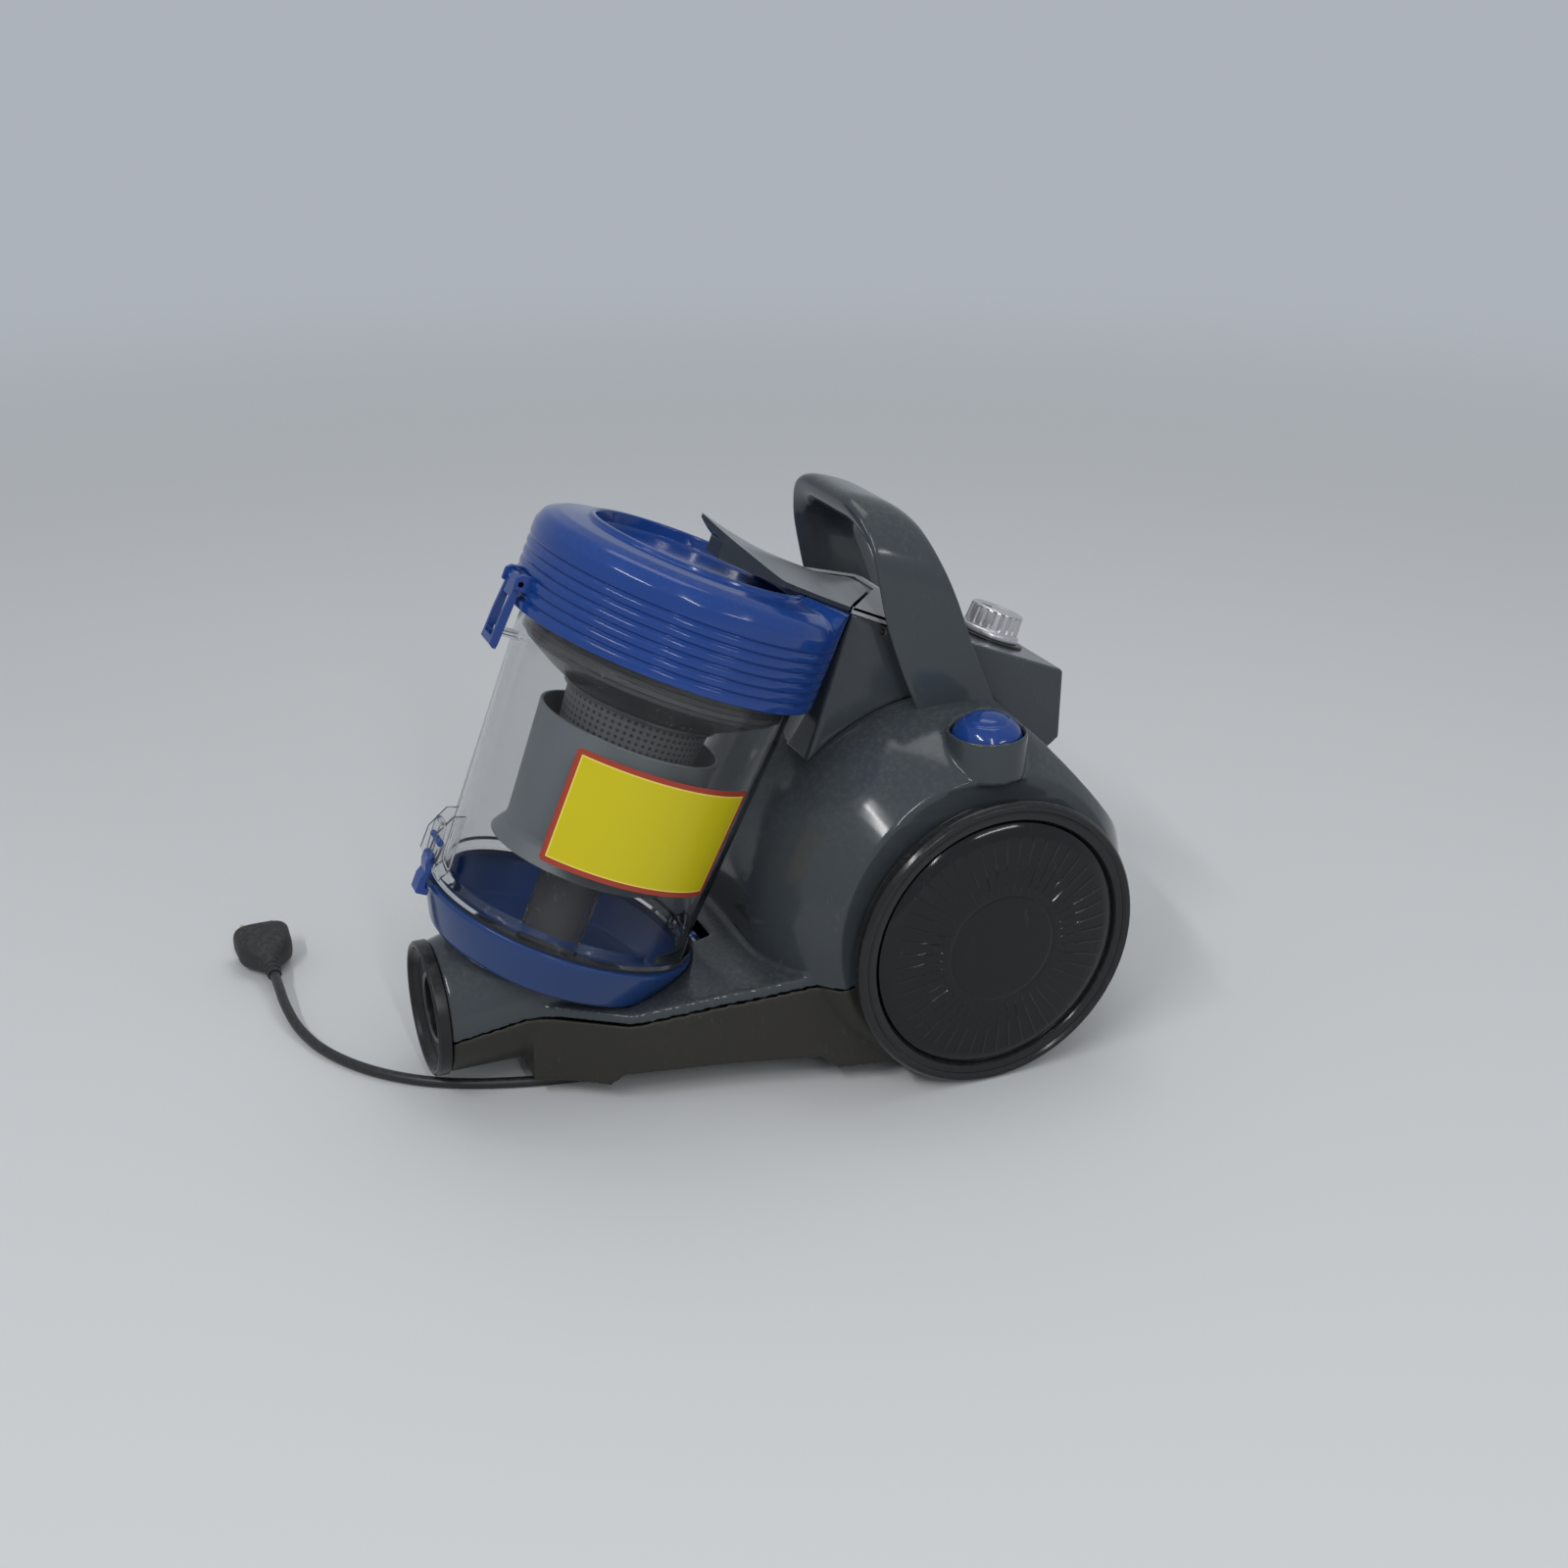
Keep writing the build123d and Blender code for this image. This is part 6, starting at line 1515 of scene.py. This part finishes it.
# ------------------------------------------------------------------ dust cup
@dataclass
class DustCup:
    """Clear wall, ribbed lid, bottom door, cyclone insert, latches and label."""

    lid_r: float = 93.0
    side_top: float = 206.0
    shoulder_wide: float = 27.0
    shoulder_high: float = 17.4
    seat_wide: float = 26.6
    rib_low: float = 172.1
    rib_pitch: float = 6.0
    seat_in: float = 36.0
    seat_out: float = 47.0
    seat_top: float = 226.0
    label_half: float = math.radians(41.0)
    label_r: float = 79.0
    wall_r: float = 76.5
    wall_flare: float = 6.5
    wall_low: float = 8.0
    wall_rise: float = 144.0
    label_low: float = 46.0
    label_high: float = 114.0

    def form(self, radius: float, angle: float, height: float) -> Point:
        """Ribs of the lid's side, which fade towards the back, and the raised seat behind the ring.

        Args:
            radius: of the plain turned form.
            angle: about the cup's axis.
            height: along the cup's axis.

        Returns:
            The formed radius and height.
        """
        back = math.degrees(abs((angle - math.pi / 2 + math.pi) % (2 * math.pi) - math.pi))
        if radius > self.lid_r - 0.05 and self.rib_low - 3 <= height <= self.rib_low + 33:
            fade = min(1.0, max(0.0, (back - 32.0) / 9.0))
            phase = (height - self.rib_low) / self.rib_pitch
            near = abs(phase - round(phase)) * self.rib_pitch
            groove = math.exp(-((near / 0.95) ** 2))
            belly = 0.25 * (1.0 - math.cos(2 * math.pi * phase)) / 2
            return radius - fade * (1.25 * groove + 0.25 - belly), height
        if height > self.side_top - 0.1 and radius > self.lid_r - self.shoulder_wide:
            share = min(1.0, max(0.0, (self.seat_out - back) / (self.seat_out - self.seat_in)))
            share = share * share * (3 - 2 * share)
            inward = (self.lid_r - radius) / self.shoulder_wide
            upward = (height - self.side_top) / self.shoulder_high
            way = min(1.0, max(0.0, (inward + upward) / 2))
            if way < 0.5:
                rise = self.seat_top - self.side_top
                aim = (self.lid_r - 0.2, self.side_top + rise * way / 0.5)
            else:
                aim = (self.lid_r - 0.2 - self.seat_wide * (way - 0.5) / 0.5, self.seat_top)
            return radius + (aim[0] - radius) * share, height + (aim[1] - height) * share
        return radius, height

    def lid(self) -> None:
        """The lid: ribbed side, big soft shoulder, ring lip and recess."""
        top = self.seat_top
        side = [(self.lid_r, 166.4)]
        height = 168.2
        while height < self.side_top:
            side.append((self.lid_r, height))
            height += 0.5
        lower = rounded([(90.4, 166.0), (92.8, 166.0), (93.0, 168.2)], [0, 0.6, 0])
        shoulder = rounded(
            [
                (self.lid_r, self.side_top), (92.8, 211.4), (89.6, 218.4), (82.0, 221.9), (68.0, 223.3),
                (66.2, 223.6), (65.4, top), (61.9, top), (60.9, 218.4), (58.0, 218.0), (0.0, 218.0),
            ],
            [0, 6, 7, 9, 2.0, 1.0, 1.3, 1.2, 1.6, 3.0, 0],
            6,
        )
        inner = [
            (0.0, 215.0), (61.0, 215.0), (66.0, 220.0), (82.0, 217.0), (87.0, 208.0), (90.0, 205.0),
            (90.0, 176.5), (79.0, 176.5), (79.0, 174.0), (83.3, 174.0), (83.3, 166.0),
        ]
        outer = lower + side[1:] + shoulder
        shape = Maker.lathe(CUP, outer + inner, 288, self.form, bent=len(outer))
        lid = Maker.finish_object(shape, "lid_cap", [FINISH.blue.material()], 40.0)
        self.cut_port(lid)
        ears = bmesh.new()
        for low in (-12.2, 9.4):
            Maker.prism(
                CUP, [(-101.0, 176.0), (-90.0, 175.4), (-90.0, 186.0), (-98.0, 185.4), (-101.0, 183.0)],
                low, low + 2.8, ears,
            )
        ear = Maker.finish_object(ears, "lid_ears", [FINISH.blue.material()])
        Maker.bevel(ear, 0.9)
        Maker.seat(lid, "cup", "blue_plastic", "cup_lid")
        Maker.seat(ear, "cup", "blue_plastic")

    def cut_port(self, lid: bpy.types.Object) -> None:
        """Cuts the round air port through the lid's back.

        Args:
            lid: the lid that is cut.
        """
        bore = Place(CUP.at(0, 0, 0.197), CUP.first, CUP.axis, CUP.second)
        tool = Maker.finish_object(
            Maker.lathe(bore, [(0, 70), (18, 70), (18, 110), (0, 110)], 64, closed=False), "port_tool", []
        )
        cut = lid.modifiers.new("port", "BOOLEAN")
        cut.operation = "DIFFERENCE"
        cut.solver = "EXACT"
        cut.object = tool
        bpy.context.view_layer.update()
        ready = bpy.data.meshes.new_from_object(lid.evaluated_get(bpy.context.evaluated_depsgraph_get()))
        lid.modifiers.clear()
        lid.data = ready
        bpy.data.objects.remove(tool)

    def wall(self) -> None:
        """The clear wall with its rim, latch bracket, hinge bosses and fin."""
        outline = [
            (81.0, 0.1), (81.0, 4.6), (76.7, 8.0), (83.0, 152.0), (83.0, 171.8), (80.5, 171.8), (80.5, 152.0),
            (74.0, 8.0), (74.0, 0.1),
        ]
        profile = rounded(outline, [0, 1.2, 2.0, 6.0, 0.3, 0.3, 6.0, 2.0, 0])
        shape = Maker.lathe(CUP, profile, 192)
        wall = Maker.finish_object(shape, "clear_wall", [FINISH.clear.material()], 30.0)
        Maker.seat(wall, "cup", "clear_plastic", "cup_wall")
        parts = bmesh.new()
        for low in (-8.7, 6.4):
            Maker.prism(
                CUP,
                [
                    (-78.4, 43.0), (-86.0, 41.0), (-92.6, 28.0), (-92.8, 14.0), (-88.0, 8.4), (-81.6, 1.0),
                    (-77.2, 9.0),
                ],
                low, low + 2.3, parts,
            )
        Maker.prism(CUP, [(-97.8, 148.2), (-83.0, 148.2), (-83.0, 152.0), (-97.8, 151.4)], -5.4, 5.4, parts)
        for low in (-12.0, 6.0):
            Maker.prism(
                CUP, [(79.8, 0.4), (86.0, -4.2), (90.4, -3.0), (90.4, 2.0), (86.0, 4.4), (79.8, 4.4)],
                low, low + 6.0, parts,
            )
        clips = Maker.finish_object(parts, "clear_brackets", [FINISH.clear.material()])
        Maker.bevel(clips, 0.7)
        Maker.seat(clips, "cup", "clear_plastic")
        angle = math.radians(-12.0)
        turned = Place(
            CUP.origin,
            CUP.first * math.sin(-angle) + CUP.second * math.cos(angle),
            CUP.first * math.cos(angle) + CUP.second * math.sin(angle),
            CUP.axis,
        )
        fin = bmesh.new()
        outline = [(73.6, 3.0), (73.8, 35.5), (70.0, 35.0), (64.5, 27.0), (60.5, 14.0), (59.2, 3.0)]
        Maker.prism(turned, outline, -0.8, 0.8, fin)
        plate = Maker.finish_object(fin, "clear_fin", [FINISH.clear.material()])
        Maker.bevel(plate, 0.5)
        Maker.seat(plate, "cup", "clear_plastic")

    def insert(self) -> None:
        """The cyclone insert seen through the wall."""
        bell = [
            (56.0, 34.0), (50.6, 42.0), (50.0, 46.0), (55.0, 116.0), (53.0, 116.0), (48.0, 46.0),
            (48.0, 40.0), (19.5, 40.0), (19.5, 38.0), (48.6, 38.0), (54.2, 33.8),
        ]
        shape = Maker.lathe(CUP, rounded(bell, [0.5, 6, 8, 0.7, 0.7, 3, 1, 0, 0, 2, 0.4]), 160)
        made = Maker.finish_object(shape, "cyclone_bell_shell", [FINISH.insert.material()], 40.0)
        Maker.seat(made, "cup", "insert_grey", "cyclone_bell")
        neck = [
            (80.1, 165.9), (80.1, 161.0), (78.6, 160.2), (78.6, 157.6), (79.8, 157.0), (79.8, 154.4),
            (77.8, 153.6), (76.6, 151.0), (73.0, 148.6), (60.0, 140.6), (50.0, 135.4), (46.4, 133.4),
            (46.4, 131.2), (44.4, 131.2), (44.4, 135.2), (48.0, 137.2), (77.4, 161.2), (77.4, 165.9),
        ]
        shape = Maker.lathe(CUP, rounded(neck, [0.5] * len(neck), 3), 160)
        made = Maker.finish_object(shape, "funnel_neck", [FINISH.neck.material()], 40.0)
        Maker.seat(made, "cup", "insert_grey", "insert_flange")
        cone = [(44.0, 134.4), (36.0, 62.0), (0.0, 62.0), (0.0, 63.5), (34.5, 63.5), (42.5, 134.4)]
        shape = Maker.lathe(CUP, rounded(cone, [0, 2, 0, 0, 1, 0]), 160)
        made = Maker.finish_object(shape, "mesh_cone", [FINISH.dots.material()], 40.0)
        Maker.seat(made, "cup", "insert_grey", "mesh_filter")
        dress("inlet_tube", FINISH.neck)
        dress("foam_filter", FINISH.foam)
        dress("lid_seal", FINISH.rubber)
        dress("door_seal", FINISH.rubber)
        dress("door_hinge_pin", FINISH.steel)

    def door(self) -> None:
        """The blue bottom door: a dish with a flat bottom and an upright rim."""
        outline = [
            (17.5, -30.0), (69.0, -30.0), (72.4, -27.6), (80.6, -10.4), (82.9, -4.6), (82.9, -2.1),
            (75.0, -2.1), (75.0, -4.5), (78.8, -5.0), (69.0, -26.0), (66.0, -27.4), (17.5, -27.4),
        ]
        profile = rounded(outline, [0, 5, 6, 4, 1.0, 0.7, 0.3, 0.5, 2, 3, 3, 0])
        shape = Maker.lathe(CUP, profile, 192)
        made = Maker.finish_object(shape, "bottom_dish", [FINISH.door.material()], 40.0)
        Maker.seat(made, "cup", "blue_plastic", "bottom_door")
        parts = bmesh.new()
        Maker.prism(CUP, [(-86.0, -2.1), (-86.0, -4.3), (-80.6, -4.3), (-80.6, -2.1)], -5.4, 5.4, parts)
        hinge = [
            (80.8, -4.4), (86.0, -4.3), (90.4, -2.4), (90.4, 0.8), (87.4, 2.4), (84.6, 0.6), (84.0, -2.1),
            (80.8, -2.1),
        ]
        Maker.prism(CUP, hinge, -5.6, 5.6, parts)
        tabs = Maker.finish_object(parts, "door_tabs", [FINISH.door.material()])
        Maker.bevel(tabs, 0.4)
        Maker.seat(tabs, "cup", "blue_plastic")

    def label(self) -> None:
        """The yellow label with its red border, laid round the wall."""

        def at(across: float, up: float, lift: float) -> Vector:
            """The label's point at an arc length and a height, in millimetres."""
            radius = self.wall_r + self.wall_flare * (up - self.wall_low) / self.wall_rise + lift
            return CUP.round(radius * MM, across / self.label_r, up * MM)

        half_w = self.label_r * self.label_half
        middle = (self.label_low + self.label_high) / 2
        half_h = (self.label_high - self.label_low) / 2
        insets = [(0.0, 0.1), (0.05, 0.32), (3.2, 0.34), (3.2, 0.34), (4.0, 0.34), (4.0, 0.34)]
        shape = bmesh.new()
        rings = []
        count = 44
        rows = 13
        for inset, lift in insets:
            size = (half_w - inset, half_h - inset, max(0.4, 2.6 - inset))
            rings.append(self._rim(shape, at, *size, middle, lift, count))
        for k in range(1, rows + 1):
            share = 1.0 - k / (rows + 1)
            size = ((half_w - 4.0) * share + 0.02, (half_h - 4.0) * share + 0.02, 0.3)
            rings.append(self._rim(shape, at, *size, middle, 0.34, count))
        kinds = [1, 1, 1, 2, 2] + [0] * rows
        Maker.stitch(shape, rings, lambda row, k: kinds[row])
        shape.faces.new(rings[-1])
        materials = [FINISH.label.material(), FINISH.border.material(), FINISH.line.material()]
        made = Maker.finish_object(shape, "label_patch", materials, 60.0)
        Maker.seat(made, "cup", "label_film", "cup_label")

    @staticmethod
    def _rim(
        shape: bmesh.types.BMesh,
        at: Callable[[float, float, float], Vector],
        half_w: float,
        half_h: float,
        corner: float,
        middle: float,
        lift: float,
        count: int,
    ) -> list[bmesh.types.BMVert]:
        """One rounded rectangle of points on the label.

        Args:
            shape: mesh that gets the points.
            at: gives a point from arc length, height and lift.
            half_w: half width in millimetres.
            half_h: half height in millimetres.
            corner: corner radius in millimetres.
            middle: height of the label's middle.
            lift: distance from the wall.
            count: points on each side.

        Returns:
            The points in order.
        """
        corner = min(corner, half_w * 0.9, half_h * 0.9)
        ring = []
        sides = [(1, 1, 0.0), (-1, 1, 0.5), (-1, -1, 1.0), (1, -1, 1.5)]
        for i, (sx, sy, start) in enumerate(sides):
            cx, cy = sx * (half_w - corner), sy * (half_h - corner)
            for k in range(7):
                angle = math.pi * (start + 0.5 * k / 6)
                ring.append((cx + corner * math.cos(angle), cy + corner * math.sin(angle)))
            nx, ny, _ = sides[(i + 1) % 4]
            ex, ey = nx * (half_w - corner), ny * (half_h - corner)
            end_angle = math.pi * (start + 0.5)
            ox, oy = corner * math.cos(end_angle), corner * math.sin(end_angle)
            for k in range(1, count):
                share = k / count
                ring.append((cx + (ex - cx) * share + ox, cy + (ey - cy) * share + oy))
        return [shape.verts.new(at(x, middle + y, lift)) for x, y in ring]

    def pivot(self, body: str, back: float, up: float, half: float) -> None:
        """The cross pin that a latch turns on.

        Args:
            body: the latch's body, which also names the pin.
            back: the pin's place across the cup, in metres.
            up: its height along the cup's axis, in metres.
            half: half its length, in millimetres.
        """
        place = Place(CUP.at(0, back, up), CUP.second, CUP.axis, CUP.first)
        ends = half - 0.4
        outline = [(0, -half), (1.6, -half), (2.0, -ends), (2.0, ends), (1.6, half), (0, half)]
        shape = Maker.lathe(place, outline, 32, closed=False)
        made = Maker.finish_object(shape, f"{body}_pin", [FINISH.blue.material()])
        Maker.seat(made, body, "blue_plastic")

    def latches(self) -> None:
        """The lid's slotted clip and the door's hook."""
        clip = bmesh.new()
        body = [
            (-99.4, 141.0), (-101.6, 143.0), (-101.0, 160.0), (-99.6, 176.0), (-98.6, 183.4),
            (-95.8, 183.8), (-95.6, 176.0), (-96.2, 160.0), (-96.8, 144.0), (-97.4, 141.0),
        ]
        Maker.prism(CUP, body, -8.8, -6.3, clip)
        Maker.prism(CUP, body, 6.3, 8.8, clip)
        top = [(-99.6, 171.0), (-98.6, 183.4), (-95.8, 183.8), (-95.9, 171.6)]
        foot = [(-99.4, 141.0), (-101.7, 143.0), (-101.4, 147.0), (-97.0, 146.8), (-97.4, 141.0)]
        Maker.prism(CUP, top, -8.8, 8.8, clip)
        Maker.prism(CUP, foot, -8.8, 8.8, clip)
        made = Maker.finish_object(clip, "lid_clip_strap", [FINISH.blue.material()])
        Maker.bevel(made, 1.05, 4)
        Maker.seat(made, "lid_clip", "blue_plastic", "lid_latch")
        self.pivot("lid_clip", -0.0975, 0.180, 12.2)
        hook = bmesh.new()
        Maker.prism(
            CUP,
            [
                (-90.9, -9.4), (-83.6, -9.4), (-83.6, -5.4), (-86.2, -5.0), (-86.6, -1.0), (-86.2, 12.0),
                (-87.4, 16.0), (-90.9, 14.0), (-90.9, 9.0), (-89.4, 4.0), (-90.9, 0.0),
            ],
            -5.9, 5.9, hook,
        )
        made = Maker.finish_object(hook, "door_hook_arm", [FINISH.blue.material()])
        Maker.bevel(made, 0.8)
        Maker.seat(made, "door_hook", "blue_plastic", "door_latch")
        self.pivot("door_hook", -0.088, 0.024, 8.6)
        loop = bmesh.new()
        bar = [
            (-89.2, 10.0), (-86.4, 10.0), (-86.2, 24.0), (-87.0, 35.8), (-90.6, 35.8), (-90.9, 30.0),
            (-90.0, 18.0),
        ]
        Maker.prism(CUP, bar, -5.9, -4.1, loop)
        Maker.prism(CUP, bar, 4.1, 5.9, loop)
        Maker.prism(CUP, [(-90.6, 33.4), (-87.0, 33.4), (-87.0, 35.8), (-90.6, 35.8)], -4.3, 4.3, loop)
        made = Maker.finish_object(loop, "door_hook_loop", [FINISH.clear.material()])
        Maker.bevel(made, 0.5)
        Maker.seat(made, "door_hook", "clear_plastic")

    def build(self) -> None:
        """Makes the whole cup."""
        self.lid()
        self.wall()
        self.insert()
        self.door()
        self.label()
        self.latches()


def main() -> None:
    """Builds the scene: camera and cord first, then the machine from the floor up."""
    logging.basicConfig(level=logging.INFO, format="%(name)s: %(message)s")
    studio = Studio()
    studio.camera()
    MainsCord().build()
    Casing().build()
    Wheel(1, "left").build()
    Wheel(-1, "right").build()
    Caster().build()
    Controls().build()
    DustCup().build()
    studio.build()


if __name__ == "__main__":
    main()
